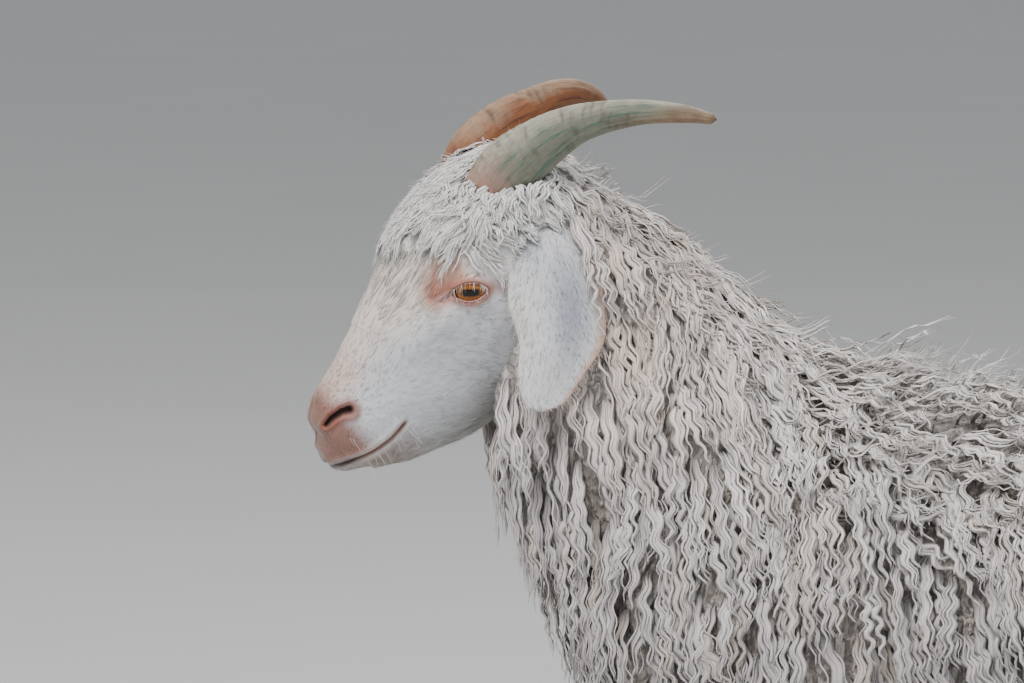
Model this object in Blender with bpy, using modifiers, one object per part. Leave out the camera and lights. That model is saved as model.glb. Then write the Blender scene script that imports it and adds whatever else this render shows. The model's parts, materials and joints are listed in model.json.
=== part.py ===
"""A standing angora goat, life size, as still solids.

Metres, +Z up. The goat faces -X, its left side faces -Y, and it stands on the floor at Z = 0.
"""

import math
import random
from dataclasses import dataclass

import bmesh
import bpy
import numpy as np
from mathutils import Matrix, Vector
from mathutils.bvhtree import BVHTree

HEAD_SEED = 11
BODY_SEED = 7
LEG_SEED = 13
GAP = 0.0003                 # clearance between nodes that touch
UP = Vector((0.0, 0.0, 1.0))

# Coat depth over the skin, and the share of it that the solid core fills
COAT_TOP = 0.040             # standing curls along the back
COAT_SIDE = 0.042            # locks on the flanks and neck
COAT_UNDER = 0.075           # fringe under the chest and belly
COAT_LEG = 0.026             # fleece on forearm and gaskin
COAT_TAIL = 0.020
COAT_POLL = 0.025            # woolly forelock between the horns
CORE_SHARE = 0.45
LOCK_SINK = 0.009            # how deep a lock's root lies in the core
SLEEVE_SHARE = 1.3           # room round a leg under the trunk, as a share of its coat
LOCK_WIDTHS = (0.70, 1.00, 0.92, 0.62)     # along a lock, as shares of its half width
LOCK_DEPTHS = (0.60, 0.50, 0.46, 0.36)

# The head has its own frame: the muzzle runs along -x, the brow is up, and it is set on the neck here
HEAD_AT = Vector((-0.330, -0.004, 0.733))
HEAD_PITCH = -42.0           # degrees, muzzle down
HEAD_YAW = 15.0              # degrees, towards the goat's left
HEAD_ROLL = 3.0              # degrees, left side low

EYE_RADIUS = 0.0142
EYE_AT = Vector((-0.0542, 0.0370, 0.0150))
LID = 0.0021                 # thickness of the eyelids
NOSTRIL_BACK = Vector((-0.1675, 0.0, 0.0052))
NOSTRIL_FRONT = Vector((-0.1875, 0.0, 0.0072))
MOUTH_CORNER = Vector((-0.1449, 0.0, -0.0262))
MOUTH_FRONT = Vector((-0.1965, 0.0, -0.0190))
LIP_RADIUS = 0.0034
MOUTH_RADIUS = 0.0016

HORN_RINGS = 12
HORN_SIDES = 10
HORN_THICKNESS = 0.68        # side to side, as a share of the depth from keel to back
EAR_ROOT = Vector((0.0080, 0.0460, 0.0080))
EAR_THICKNESS = 0.0030
EAR_ROWS = 11
EAR_COLUMNS = 7

LEG_TOP = 0.366              # level where the legs leave the trunk
KNEE_CUT = 0.185             # level that parts foreleg and cannon
HOCK_CUT = 0.205             # level that parts hind leg and cannon
TOE_HEIGHT = 0.034
HEEL_HEIGHT = 0.021
HEEL_REACH = 0.026           # heel behind the middle of the foot
CLAW_LENGTH = 0.056
CLAW_WIDTH = 0.0205
CLEFT = 0.0035               # gap between the two claws of a hoof

# Planes that part the neck from the trunk and from the head
NECK_CUT_AT = Vector((-0.222, 0.0, 0.530))
NECK_CUT_NORMAL = Vector((0.88, 0.0, -0.47))
HEAD_CUT_AT = Vector((-0.322, 0.0, 0.675))
HEAD_CUT_NORMAL = Vector((0.920, 0.165, -0.355))

FLEECE = ("fleece", (0.82, 0.79, 0.73), 0.9)
SHORT_HAIR = ("short_hair", (0.84, 0.81, 0.77), 0.8)
HORN_LEFT = ("horn_grey", (0.46, 0.49, 0.43), 0.6)
HORN_RIGHT = ("horn_tan", (0.52, 0.36, 0.22), 0.6)
HOOF = ("hoof", (0.23, 0.18, 0.14), 0.5)
EYE = ("eye", (0.55, 0.28, 0.08), 0.1)


@dataclass(frozen=True)
class Station:
    """One cross-section of a body part: where it is and how far the skin reaches from there."""
    at: tuple
    top: float               # towards the back of the part, or the rear of a leg
    low: float               # towards its underside, or the front of a leg
    side: float
    coat: float = 1.0        # share of the part's coat depth that grows here
    round_top: float = 2.0   # 2 is an ellipse, more is square, less is pinched
    round_low: float = 2.0

    def row(self, coat_top, coat_low, coat_side):
        """The section as numbers, with the given coat on each side."""
        return (*self.at, self.top + self.coat * coat_top, self.low + self.coat * coat_low,
                self.side + self.coat * coat_side, self.round_top, self.round_low)


@dataclass(frozen=True)
class Habit:
    """How the locks of one region grow."""
    length: float
    width: float
    height: float            # how far a lock's outer face stands off the core
    wave: float              # side to side swing of its curl
    hang: tuple              # the way it falls, on the right side of the body


@dataclass(frozen=True)
class HornPath:
    """A horn's middle line in the head's frame, and its depth from keel to back along it."""
    points: tuple
    depths: tuple


TRUNK = (
    Station((-0.272, 0.0, 0.440), 0.065, 0.065, 0.050),
    Station((-0.240, 0.0, 0.450), 0.120, 0.108, 0.086),
    Station((-0.165, 0.0, 0.455), 0.163, 0.137, 0.114),
    Station((-0.090, 0.0, 0.450), 0.161, 0.138, 0.127),
    Station((0.000, 0.0, 0.445), 0.159, 0.133, 0.146),
    Station((0.100, 0.0, 0.445), 0.157, 0.127, 0.155),
    Station((0.200, 0.0, 0.455), 0.151, 0.123, 0.148),
    Station((0.285, 0.0, 0.470), 0.139, 0.120, 0.133),
    Station((0.350, 0.0, 0.480), 0.118, 0.105, 0.116),
    Station((0.400, 0.0, 0.490), 0.085, 0.085, 0.086),
)

NECK = (
    Station((-0.335, 0.0, 0.705), 0.072, 0.050, 0.044, 0.40),
    Station((-0.305, 0.0, 0.675), 0.084, 0.062, 0.048, 0.55),
    Station((-0.268, 0.0, 0.625), 0.094, 0.070, 0.056, 0.85),
    Station((-0.225, 0.0, 0.568), 0.110, 0.085, 0.070),
    Station((-0.165, 0.0, 0.500), 0.110, 0.120, 0.090),
)

HEAD = (
    Station((-0.1985, 0.0, -0.0095), 0.0085, 0.0090, 0.0115, 0.0),
    Station((-0.1910, 0.0, -0.0105), 0.0185, 0.0195, 0.0190, 0.0, 2.2, 2.2),
    Station((-0.1810, 0.0, -0.0095), 0.0295, 0.0300, 0.0238, 0.0, 2.3, 2.2),
    Station((-0.1650, 0.0, -0.0090), 0.0365, 0.0390, 0.0262, 0.04, 2.2),
    Station((-0.1400, 0.0, -0.0100), 0.0460, 0.0500, 0.0300, 0.04, 2.0, 1.8),
    Station((-0.1150, 0.0, -0.0080), 0.0510, 0.0650, 0.0345, 0.06, 2.1, 1.7),
    Station((-0.0900, 0.0, 0.0000), 0.0520, 0.0840, 0.0400, 0.12, 2.2, 1.6),
    Station((-0.0700, 0.0, 0.0040), 0.0560, 0.0920, 0.0465, 0.5, 2.3, 1.6),
    Station((-0.0500, 0.0, 0.0050), 0.0600, 0.0940, 0.0505, 0.9, 2.4, 1.6),
    Station((-0.0300, 0.0, 0.0030), 0.0635, 0.0920, 0.0520, 1.0, 2.4, 1.7),
    Station((-0.0050, 0.0, 0.0000), 0.0640, 0.0820, 0.0510, 0.8, 2.4),
    Station((0.0220, 0.0, -0.0100), 0.0600, 0.0630, 0.0470, 0.8, 2.3),
    Station((0.0500, 0.0, -0.0100), 0.0400, 0.0480, 0.0400, 0.6),
)

FORELEG = (
    Station((-0.185, -0.070, 0.420), 0.045, 0.045, 0.036, 0.6),
    Station((-0.172, -0.076, 0.360), 0.036, 0.036, 0.030),
    Station((-0.174, -0.078, 0.300), 0.027, 0.026, 0.023),
    Station((-0.178, -0.078, 0.245), 0.020, 0.021, 0.019, 0.8),
    Station((-0.180, -0.078, 0.205), 0.020, 0.021, 0.020, 0.25),
    Station((-0.179, -0.078, 0.170), 0.0155, 0.0150, 0.0140, 0.1),
    Station((-0.177, -0.078, 0.120), 0.0145, 0.0130, 0.0128, 0.1),
    Station((-0.176, -0.078, 0.085), 0.0185, 0.0165, 0.0168, 0.1),
    Station((-0.182, -0.078, 0.062), 0.0170, 0.0160, 0.0165, 0.1),
    Station((-0.192, -0.078, 0.040), 0.0225, 0.0205, 0.0205, 0.05),
    Station((-0.199, -0.078, 0.020), 0.0250, 0.0225, 0.0215, 0.0),
)

HINDLEG = (
    Station((0.325, -0.070, 0.480), 0.070, 0.070, 0.050, 0.3),
    Station((0.310, -0.082, 0.420), 0.070, 0.072, 0.050, 0.8),
    Station((0.312, -0.088, 0.362), 0.056, 0.052, 0.040),
    Station((0.345, -0.088, 0.305), 0.036, 0.034, 0.028),
    Station((0.382, -0.086, 0.260), 0.022, 0.024, 0.020, 0.7),
    Station((0.398, -0.085, 0.228), 0.021, 0.023, 0.0195, 0.25),
    Station((0.397, -0.085, 0.190), 0.0175, 0.0165, 0.0145, 0.1),
    Station((0.388, -0.085, 0.130), 0.0150, 0.0135, 0.0130, 0.1),
    Station((0.381, -0.085, 0.086), 0.0185, 0.0165, 0.0168, 0.1),
    Station((0.373, -0.085, 0.062), 0.0170, 0.0160, 0.0165, 0.1),
    Station((0.363, -0.085, 0.040), 0.0225, 0.0205, 0.0205, 0.05),
    Station((0.356, -0.085, 0.020), 0.0250, 0.0225, 0.0215, 0.0),
)

TAIL = (
    Station((0.374, 0.0, 0.546), 0.018, 0.022, 0.022, 0.4),
    Station((0.405, 0.0, 0.572), 0.014, 0.016, 0.017, 0.9),
    Station((0.432, 0.0, 0.600), 0.010, 0.012, 0.013),
    Station((0.4625, 0.0, 0.636), 0.006, 0.008, 0.009),
)

HORN_PATHS = {
    "left": HornPath(
        points=(
            (-0.016, -0.022, 0.042), (0.0020, -0.028, 0.052), (0.0213, -0.033, 0.0556),
            (0.0509, -0.046, 0.0561), (0.0729, -0.062, 0.0524), (0.0999, -0.088, 0.0400),
            (0.1211, -0.110, 0.0226), (0.1311, -0.121, 0.0106),
        ),
        depths=(0.0360, 0.0395, 0.0425, 0.0333, 0.0247, 0.0170, 0.0120, 0.0070),
    ),
    "right": HornPath(
        points=(
            (-0.016, 0.022, 0.044), (0.0020, 0.028, 0.055), (0.0207, 0.031, 0.0615),
            (0.0433, 0.036, 0.0610), (0.0649, 0.043, 0.0545), (0.0842, 0.052, 0.0463),
            (0.0981, 0.062, 0.0340), (0.1045, 0.072, 0.0180), (0.1020, 0.080, 0.0040),
        ),
        depths=(0.0360, 0.0395, 0.0400, 0.0340, 0.0285, 0.0235, 0.0185, 0.0130, 0.0080),
    ),
}

# How far each leg stands ahead of the pattern leg
STRIDE = {
    "fore_left": -0.010,
    "fore_right": 0.016,
    "hind_left": 0.012,
    "hind_right": -0.014,
}

BACK_LOCKS = Habit(0.120, 0.082, 0.024, 0.018, (0.40, 1.0, -0.5))
TRUNK_LOCKS = Habit(0.150, 0.078, 0.017, 0.017, (0.14, 0.35, -1.0))
FRINGE_LOCKS = Habit(0.130, 0.070, 0.024, 0.016, (0.10, 0.05, -1.0))
END_LOCKS = Habit(0.125, 0.066, 0.017, 0.014, (0.0, 0.20, -1.0))
NAPE_LOCKS = Habit(0.090, 0.054, 0.027, 0.012, (0.60, 1.0, -0.7))
NECK_LOCKS = Habit(0.120, 0.056, 0.017, 0.013, (0.10, 0.15, -1.0))
LEG_LOCKS = Habit(0.085, 0.044, 0.002, 0.005, (0.05, 0.05, -1.0))
TAIL_LOCKS = Habit(0.055, 0.024, 0.003, 0.003, (0.20, 0.55, -1.0))
FORELOCK = Habit(0.062, 0.028, 0.009, 0.009, (-1.0, 0.35, -0.10))


# From a point inside the trunk, which way the locks of chest and rump lie
END_ROOTS = (
    ((-0.200, 0.0, 0.450), (-1.0, 0.42, -0.05)),
    ((-0.200, 0.0, 0.420), (-1.0, 0.45, -0.80)),
    ((0.320, 0.0, 0.490), (1.0, 0.45, 0.55)),
    ((0.320, 0.0, 0.470), (1.0, 0.50, -0.10)),
)


def clear_scene():
    """Removes what the file opened with."""
    for obj in list(bpy.data.objects):
        bpy.data.objects.remove(obj)


def collection_named(name):
    """The scene's collection of that name, made on first use."""
    found = bpy.data.collections.get(name)
    if found:
        return found
    made = bpy.data.collections.new(name)
    bpy.context.scene.collection.children.link(made)
    return made


def material_of(finish):
    """The material for a finish: its name, colour and roughness."""
    name, colour, roughness = finish
    found = bpy.data.materials.get(name)
    if found:
        return found
    made = bpy.data.materials.new(name)
    made.use_nodes = True
    shader = made.node_tree.nodes["Principled BSDF"]
    shader.inputs["Base Color"].default_value = (*colour, 1.0)
    shader.inputs["Roughness"].default_value = roughness
    shader.inputs["Metallic"].default_value = 0.0
    return made


def evaluated_mesh(obj):
    """A plain mesh of the object with its modifiers applied."""
    graph = bpy.context.evaluated_depsgraph_get()
    graph.update()
    return bpy.data.meshes.new_from_object(obj.evaluated_get(graph))


def smooth_rows(rows, count):
    """Evenly spaced rows on a smooth curve through the given ones, whose first three numbers are a place."""
    rows = np.array(rows, float)
    steps = np.linalg.norm(np.diff(rows[:, :3], axis=0), axis=1)
    along = np.concatenate([[0.0], np.cumsum(steps)])
    slope = np.empty_like(rows)
    slope[1:-1] = (rows[2:] - rows[:-2]) / (along[2:] - along[:-2])[:, None]
    slope[0] = (rows[1] - rows[0]) / steps[0]
    slope[-1] = (rows[-1] - rows[-2]) / steps[-1]
    wanted = np.linspace(0.0, along[-1], count)
    first = np.clip(np.searchsorted(along, wanted, side="right") - 1, 0, len(steps) - 1)
    span = steps[first][:, None]
    x = (wanted - along[first])[:, None] / span
    return (
        rows[first] * (2 * x**3 - 3 * x**2 + 1)
        + rows[first + 1] * (3 * x**2 - 2 * x**3)
        + slope[first] * span * (x**3 - 2 * x**2 + x)
        + slope[first + 1] * span * (x**3 - x**2)
    )


def section_point(row, tangent, turn):
    """The point of one cross-section at an angle, counted from its side towards its top."""
    across = Vector((0.0, 1.0, 0.0))
    across = (across - tangent * across.dot(tangent)).normalized()
    up = tangent.cross(across)
    top, low, side, round_top, round_low = row[3:8]
    c, s = math.cos(turn), math.sin(turn)
    power = 2.0 / (round_top if s >= 0 else round_low)
    reach = top if s >= 0 else low
    wide = side * math.copysign(abs(c) ** power, c)
    high = reach * math.copysign(abs(s) ** power, s)
    return Vector(row[:3]) + across * wide + up * high


def section_ring(row, tangent, sides):
    """The points of one cross-section, square to the tangent."""
    return [section_point(row, tangent, math.tau * k / sides) for k in range(sides)]


def dome_rows(row, tangent, length):
    """Shrinking copies of an end section that round it off over the given length, and the tip."""
    rows = []
    for degrees in (35.0, 65.0):
        turn = math.radians(degrees)
        place = Vector(row[:3]) + tangent * length * math.sin(turn)
        sizes = [reach * math.cos(turn) for reach in row[3:6]]
        rows.append((*place, *sizes, *row[6:8]))
    return rows, Vector(row[:3]) + tangent * length


def mesh_from_rings(name, rings, start_tip=None, end_tip=None):
    """A closed mesh through rings of equal count, each end closed by a fan to a point."""
    shape = bmesh.new()
    loops = [[shape.verts.new(point) for point in ring] for ring in rings]
    sides = len(loops[0])
    for first, second in zip(loops, loops[1:]):
        for k in range(sides):
            shape.faces.new((first[k], first[(k + 1) % sides], second[(k + 1) % sides], second[k]))
    for loop, tip in ((loops[0], start_tip), (loops[-1], end_tip)):
        middle = tip if tip is not None else sum((v.co for v in loop), Vector()) / sides
        centre = shape.verts.new(middle)
        for k in range(sides):
            shape.faces.new((loop[k], loop[(k + 1) % sides], centre))
    return finished_mesh(name, shape)


def finished_mesh(name, shape):
    """A mesh of the edited shape, its faces turned outwards."""
    bmesh.ops.recalc_face_normals(shape, faces=shape.faces)
    if shape.calc_volume(signed=True) < 0:
        bmesh.ops.reverse_faces(shape, faces=shape.faces)
    mesh = bpy.data.meshes.new(name)
    shape.to_mesh(mesh)
    shape.free()
    return mesh


def loft_frames(stations, rings, coat, level=False):
    """The rows of a loft and the way it runs at each; coat is its depth on top, underside and sides."""
    rows = smooth_rows([station.row(*coat) for station in stations], rings)
    if level:
        return rows, [-UP] * rings
    places = [Vector(row[:3]) for row in rows]
    tangents = [
        (places[min(i + 1, rings - 1)] - places[max(i - 1, 0)]).normalized() for i in range(rings)
    ]
    return rows, tangents


def loft(name, stations, rings, sides, coat, start_dome=0.0, end_dome=0.0, level=False):
    """A closed body part through its stations, with level rings where asked."""
    rows, tangents = loft_frames(stations, rings, coat, level)
    loops = [section_ring(row, tangent, sides) for row, tangent in zip(rows, tangents)]
    tips = [None, None]
    if start_dome:
        extra, tips[0] = dome_rows(rows[0], -tangents[0], start_dome)
        loops = [section_ring(row, tangents[0], sides) for row in reversed(extra)] + loops
    if end_dome:
        extra, tips[1] = dome_rows(rows[-1], tangents[-1], end_dome)
        loops = loops + [section_ring(row, tangents[-1], sides) for row in extra]
    return mesh_from_rings(name, loops, *tips)


def coat_of(top, under, side, share):
    """Coat depths for a loft, cut down to a share of the full coat."""
    return (top * share, under * share, side * share)


def boolean(mesh, operation, tools):
    """The mesh after one Boolean with all the tool meshes, which are used up."""
    cutters = collection_named("cutters")
    body = bpy.data.objects.new(mesh.name, mesh)
    bpy.context.scene.collection.objects.link(body)
    for tool in tools:
        obj = bpy.data.objects.new(tool.name, tool)
        obj.hide_render = True
        obj.display_type = "WIRE"
        cutters.objects.link(obj)
    modifier = body.modifiers.new(operation.lower(), "BOOLEAN")
    modifier.operation = operation
    modifier.operand_type = "COLLECTION"
    modifier.collection = cutters
    modifier.solver = "MANIFOLD"
    result = evaluated_mesh(body)
    result.name = mesh.name
    bpy.data.objects.remove(body)
    for obj in list(cutters.objects):
        bpy.data.objects.remove(obj)
    return result


def largest_part(mesh):
    """The mesh with only its largest closed surface left."""
    shape = bmesh.new()
    shape.from_mesh(mesh)
    bmesh.ops.triangulate(shape, faces=shape.faces)
    unseen = set(shape.faces)
    groups = []
    while unseen:
        stack = [unseen.pop()]
        group = []
        while stack:
            face = stack.pop()
            group.append(face)
            for edge in face.edges:
                for near in edge.link_faces:
                    if near in unseen:
                        unseen.remove(near)
                        stack.append(near)
        groups.append(group)
    groups.sort(key=lambda group: sum(face.calc_area() for face in group))
    for group in groups[:-1]:
        bmesh.ops.delete(shape, geom=group, context="FACES")
    loose = [vert for vert in shape.verts if not vert.link_faces]
    bmesh.ops.delete(shape, geom=loose, context="VERTS")
    shape.to_mesh(mesh)
    shape.free()
    return mesh


def beyond(place, normal, lift=0.0):
    """A large block that fills all beyond a plane, lifted along its normal."""
    size = 1.5
    shape = bmesh.new()
    bmesh.ops.create_cube(shape, size=size)
    turn = normal.to_track_quat("Z", "Y").to_matrix().to_4x4()
    middle = Vector(place) + normal.normalized() * (lift + size / 2)
    bmesh.ops.transform(shape, matrix=Matrix.Translation(middle) @ turn, verts=shape.verts)
    return finished_mesh("block", shape)


def above(level):
    """A large block over a level."""
    return beyond((0.0, 0.0, level), UP)


def below(level):
    """A large block under a level."""
    return beyond((0.0, 0.0, level), -UP)


def grown(mesh, amount):
    """A copy of a mesh with each point moved out along its normal."""
    copy = mesh.copy()
    copy.name = "clearance"
    shape = bmesh.new()
    shape.from_mesh(copy)
    shape.normal_update()
    for vert in shape.verts:
        vert.co += vert.normal * amount
    shape.to_mesh(copy)
    shape.free()
    return copy


def tree_of(mesh):
    """A search tree over a mesh."""
    shape = bmesh.new()
    shape.from_mesh(mesh)
    tree = BVHTree.FromBMesh(shape)
    shape.free()
    return tree


def tube(name, points, radii):
    """A closed tube through the points with a radius at each."""
    curve = bpy.data.curves.new(name, "CURVE")
    curve.dimensions = "3D"
    spline = curve.splines.new("POLY")
    spline.points.add(len(points) - 1)
    for target, point, radius in zip(spline.points, points, radii):
        target.co = (*point, 1.0)
        target.radius = radius / max(radii)
    curve.bevel_depth = max(radii)
    curve.bevel_resolution = 1
    curve.use_fill_caps = True
    obj = bpy.data.objects.new(name, curve)
    bpy.context.scene.collection.objects.link(obj)
    mesh = evaluated_mesh(obj)
    bpy.data.objects.remove(obj)
    shape = bmesh.new()
    shape.from_mesh(mesh)
    bmesh.ops.remove_doubles(shape, verts=shape.verts, dist=0.00001)
    return finished_mesh(name, shape)


def grow_lock(tree, root, outward, habit, chance, lowest=0.0):
    """A closed, tapered, wavy lock that leaves the surface at its root and falls along it."""
    hang = Vector(habit.hang)
    hang.y *= -1.0 if root.y < 0 else 1.0
    length = habit.length * chance.uniform(0.88, 1.12)
    width = habit.width * chance.uniform(0.88, 1.12) / 2
    height = habit.height * chance.uniform(0.85, 1.15)
    phase = chance.uniform(0.0, math.tau)
    place = root - outward * LOCK_SINK
    normal = outward
    rings = []
    for i in range(len(LOCK_WIDTHS) + 1):
        share = i / len(LOCK_WIDTHS)
        along = (hang - normal * hang.dot(normal)).normalized()
        along = (along + hang.normalized() * 0.35).normalized()
        if i:
            place = place + along * length / len(LOCK_WIDTHS)
            near, normal = tree.find_nearest(place)[:2]
            stand = height * min(1.0, 0.35 + share) * (1.0 - 0.25 * share**4)
            place = place + normal * max(stand - (place - near).dot(normal), 0.0)
        place.z = max(place.z, lowest)
        across = along.cross(normal).normalized()
        outer = across.cross(along).normalized()
        middle = place + across * habit.wave * share * math.sin(phase + math.tau * 0.75 * share)
        if i < len(LOCK_WIDTHS):
            wide = across * width * LOCK_WIDTHS[i]
            thick = outer * width * LOCK_DEPTHS[i]
            rings.append([middle + wide, middle + thick, middle - wide, middle - thick])
    return mesh_from_rings("lock", rings, end_tip=middle)


def locks_on(tree, stations, coat, columns, turns, habits, chance, level=False, lowest=0.0):
    """Locks in a brick pattern over a loft, on both of its sides, one habit for each turn."""
    rows, tangents = loft_frames(stations, 2 * columns + 1, coat, level)
    made = []
    for tier, (degrees, habit) in enumerate(zip(turns, habits)):
        for column in range(columns):
            pick = 2 * column + 1 + (tier % 2)
            if pick >= len(rows):
                continue
            for side in (-1.0, 1.0):
                turn = math.radians(degrees + chance.uniform(-4.0, 4.0))
                if side < 0:
                    turn = math.pi - turn
                point = section_point(rows[pick], tangents[pick], turn)
                point.x += chance.uniform(-0.006, 0.006)
                root, outward = tree.find_nearest(point)[:2]
                made.append(grow_lock(tree, root, outward, habit, chance, lowest))
    return made


def head_matrix():
    """Places the head's frame in the goat's."""
    turn = (
        Matrix.Rotation(math.radians(HEAD_YAW), 4, "Z")
        @ Matrix.Rotation(math.radians(HEAD_ROLL), 4, "X")
        @ Matrix.Rotation(math.radians(HEAD_PITCH), 4, "Y")
    )
    return Matrix.Translation(HEAD_AT) @ turn


def on_side(tree, point, side):
    """The point of the head's surface level with the given one, on the side with that sign."""
    start = Vector((point.x, 0.0, point.z))
    return tree.ray_cast(start, Vector((0.0, side, 0.0)))[0]


def mouth_line(tree, drop, sink, steps=5):
    """The line of the mouth from corner to corner round the front, dropped and sunk by the given amounts."""
    line = []
    for k in range(-steps, steps + 1):
        turn = math.pi / 2 * k / steps
        x = MOUTH_CORNER.x + (MOUTH_FRONT.x - MOUTH_CORNER.x) * math.cos(turn)
        rise = (MOUTH_FRONT.z - MOUTH_CORNER.z) * math.cos(turn) ** 2 - 0.003 * math.sin(2.0 * abs(turn))
        middle = Vector((MOUTH_CORNER.x + 0.006, 0.0, MOUTH_CORNER.z + drop + rise))
        away = Vector((x - middle.x, 0.024 * math.sin(turn), 0.0)).normalized()
        reached = tree.ray_cast(middle, away)[0]
        line.append(reached - away * sink)
    return line


def lips(tree):
    """The upper and the lower lip, as rolls either side of the line of the mouth."""
    made = []
    for drop in (0.0036, -0.0034):
        line = mouth_line(tree, drop, 0.0018)
        last = len(line) - 1
        radii = [LIP_RADIUS * max(math.sin(math.pi * k / last), 0.1) ** 0.6 for k in range(last + 1)]
        made.append(tube("lip", line, radii))
    return made


def mouth(tree):
    """The groove between the lips, as a cutter."""
    line = mouth_line(tree, 0.0, 0.0)
    radii = [MOUTH_RADIUS] * len(line)
    radii[0] = radii[-1] = MOUTH_RADIUS * 0.55
    return tube("mouth", line, radii)


def nostril(tree, side):
    """One slanting nostril, as a cutter."""
    back, front = (on_side(tree, point, side) for point in (NOSTRIL_BACK, NOSTRIL_FRONT))
    slit = [back + Vector((0.004, 0.0, 0.001)), back, (back + front) / 2, front]
    return tube("nostril", slit, [0.0015, 0.0038, 0.0028, 0.0014])


def eyeball(side, grow=0.0):
    """One eyeball in the head's frame."""
    shape = bmesh.new()
    bmesh.ops.create_uvsphere(shape, u_segments=12, v_segments=8, radius=EYE_RADIUS + grow)
    turn = Matrix.Rotation(math.radians(90.0), 4, "X")
    centre = Vector((EYE_AT.x, side * EYE_AT.y, EYE_AT.z))
    bmesh.ops.transform(shape, matrix=Matrix.Translation(centre) @ turn, verts=shape.verts)
    return finished_mesh("eyeball", shape)


def lid_opening(side):
    """The almond between the lids of one eye, as a cutter that runs out from the eyeball."""
    facing = Vector((-0.26, side * 0.95, 0.10)).normalized()
    forward = Vector((-0.84, 0.0, 0.545))      # nearly level once the head is pitched down
    forward = (forward - facing * forward.dot(facing)).normalized()
    upward = facing.cross(forward) * side
    centre = Vector((EYE_AT.x, side * EYE_AT.y, EYE_AT.z))
    rings = []
    for depth, spread in ((0.004, 0.80), (0.012, 0.98), (0.030, 1.25)):
        ring = []
        for k in range(14):
            turn = math.tau * k / 14
            c, s = math.cos(turn), math.sin(turn)
            wide = 0.0112 * c + (0.0022 * c**4 if c > 0 else 0.0)
            high = (0.0066 if s > 0 else 0.0058) * s * (1.0 - 0.25 * c * c)
            ring.append(centre + facing * depth + (forward * wide + upward * high) * spread)
        rings.append(ring)
    return mesh_from_rings("opening", rings)


def horn(name):
    """One horn in the goat's frame: a keeled, flattened sweep that thins to a blunt tip."""
    path = HORN_PATHS[name]
    rows = smooth_rows([(*p, d) for p, d in zip(path.points, path.depths)], HORN_RINGS)
    places = [Vector(row[:3]) for row in rows]
    side = -1.0 if name == "left" else 1.0
    rings = []
    for i, (row, place) in enumerate(zip(rows, places)):
        tangent = (places[min(i + 1, HORN_RINGS - 1)] - places[max(i - 1, 0)]).normalized()
        outward = Vector((0.25, side, 0.0))
        outward = (outward - tangent * outward.dot(tangent)).normalized()
        keel = tangent.cross(outward) * side
        half = row[3] / 2
        ring = []
        for k in range(HORN_SIDES):
            turn = math.tau * k / HORN_SIDES
            pinch = 1.0 - 0.35 * max(math.cos(turn), 0.0) ** 2
            wide = half * HORN_THICKNESS * pinch * math.sin(turn)
            ring.append(place + keel * half * math.cos(turn) + outward * wide)
        rings.append(ring)
    tip = places[-1] + (places[-1] - places[-2]).normalized() * 0.003
    mesh = mesh_from_rings("horn", rings, end_tip=tip)
    mesh.transform(head_matrix())
    return mesh


def ear(name):
    """One hanging ear in the goat's frame: a leaf curled into a cup that opens towards the head."""
    side = -1.0 if name == "left" else 1.0
    # share of the length, middle along X, half width, cup angle, outward place and how far it hangs
    rows = (
        (-0.14, -0.001, 0.0110, 190.0, -0.014, 0.012),
        (0.00, -0.001, 0.0200, 140.0, 0.006, 0.002),
        (0.15, 0.001, 0.0290, 105.0, 0.019, -0.016),
        (0.40, 0.006, 0.0315, 75.0, 0.029, -0.047),
        (0.60, 0.007, 0.0280, 62.0, 0.034, -0.072),
        (0.80, 0.003, 0.0205, 52.0, 0.038, -0.096),
        (0.94, -0.004, 0.0110, 46.0, 0.040, -0.113),
        (1.00, -0.008, 0.0040, 40.0, 0.041, -0.120),
    )
    fine = smooth_rows([(0.0, r[4], r[5], r[1], r[2], r[3]) for r in rows], EAR_ROWS)
    place = head_matrix() @ Vector((EAR_ROOT.x, side * EAR_ROOT.y, EAR_ROOT.z))
    shape = bmesh.new()
    loops = []
    for _, outward, hang, middle, half, degrees in fine:
        cup = math.radians(degrees)
        bend = half / math.sin(min(cup, math.pi) / 2)
        loop = []
        for k in range(EAR_COLUMNS):
            turn = cup * (k / (EAR_COLUMNS - 1) - 0.5)
            wide = middle + bend * math.sin(turn)
            point = Vector((wide, side * (outward - bend * (1.0 - math.cos(turn))), hang))
            loop.append(shape.verts.new(place + point))
        loops.append(loop)
    for first, second in zip(loops, loops[1:]):
        for k in range(EAR_COLUMNS - 1):
            shape.faces.new((first[k], first[k + 1], second[k + 1], second[k]))
    sheet = bpy.data.meshes.new("ear")
    shape.to_mesh(sheet)
    shape.free()
    obj = bpy.data.objects.new("ear", sheet)
    bpy.context.scene.collection.objects.link(obj)
    wall = obj.modifiers.new("wall", "SOLIDIFY")
    wall.thickness = EAR_THICKNESS
    wall.offset = 0.0
    wall.use_even_offset = True
    solid = evaluated_mesh(obj)
    bpy.data.objects.remove(obj)
    shape = bmesh.new()
    shape.from_mesh(solid)
    return finished_mesh("ear", shape)


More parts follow.
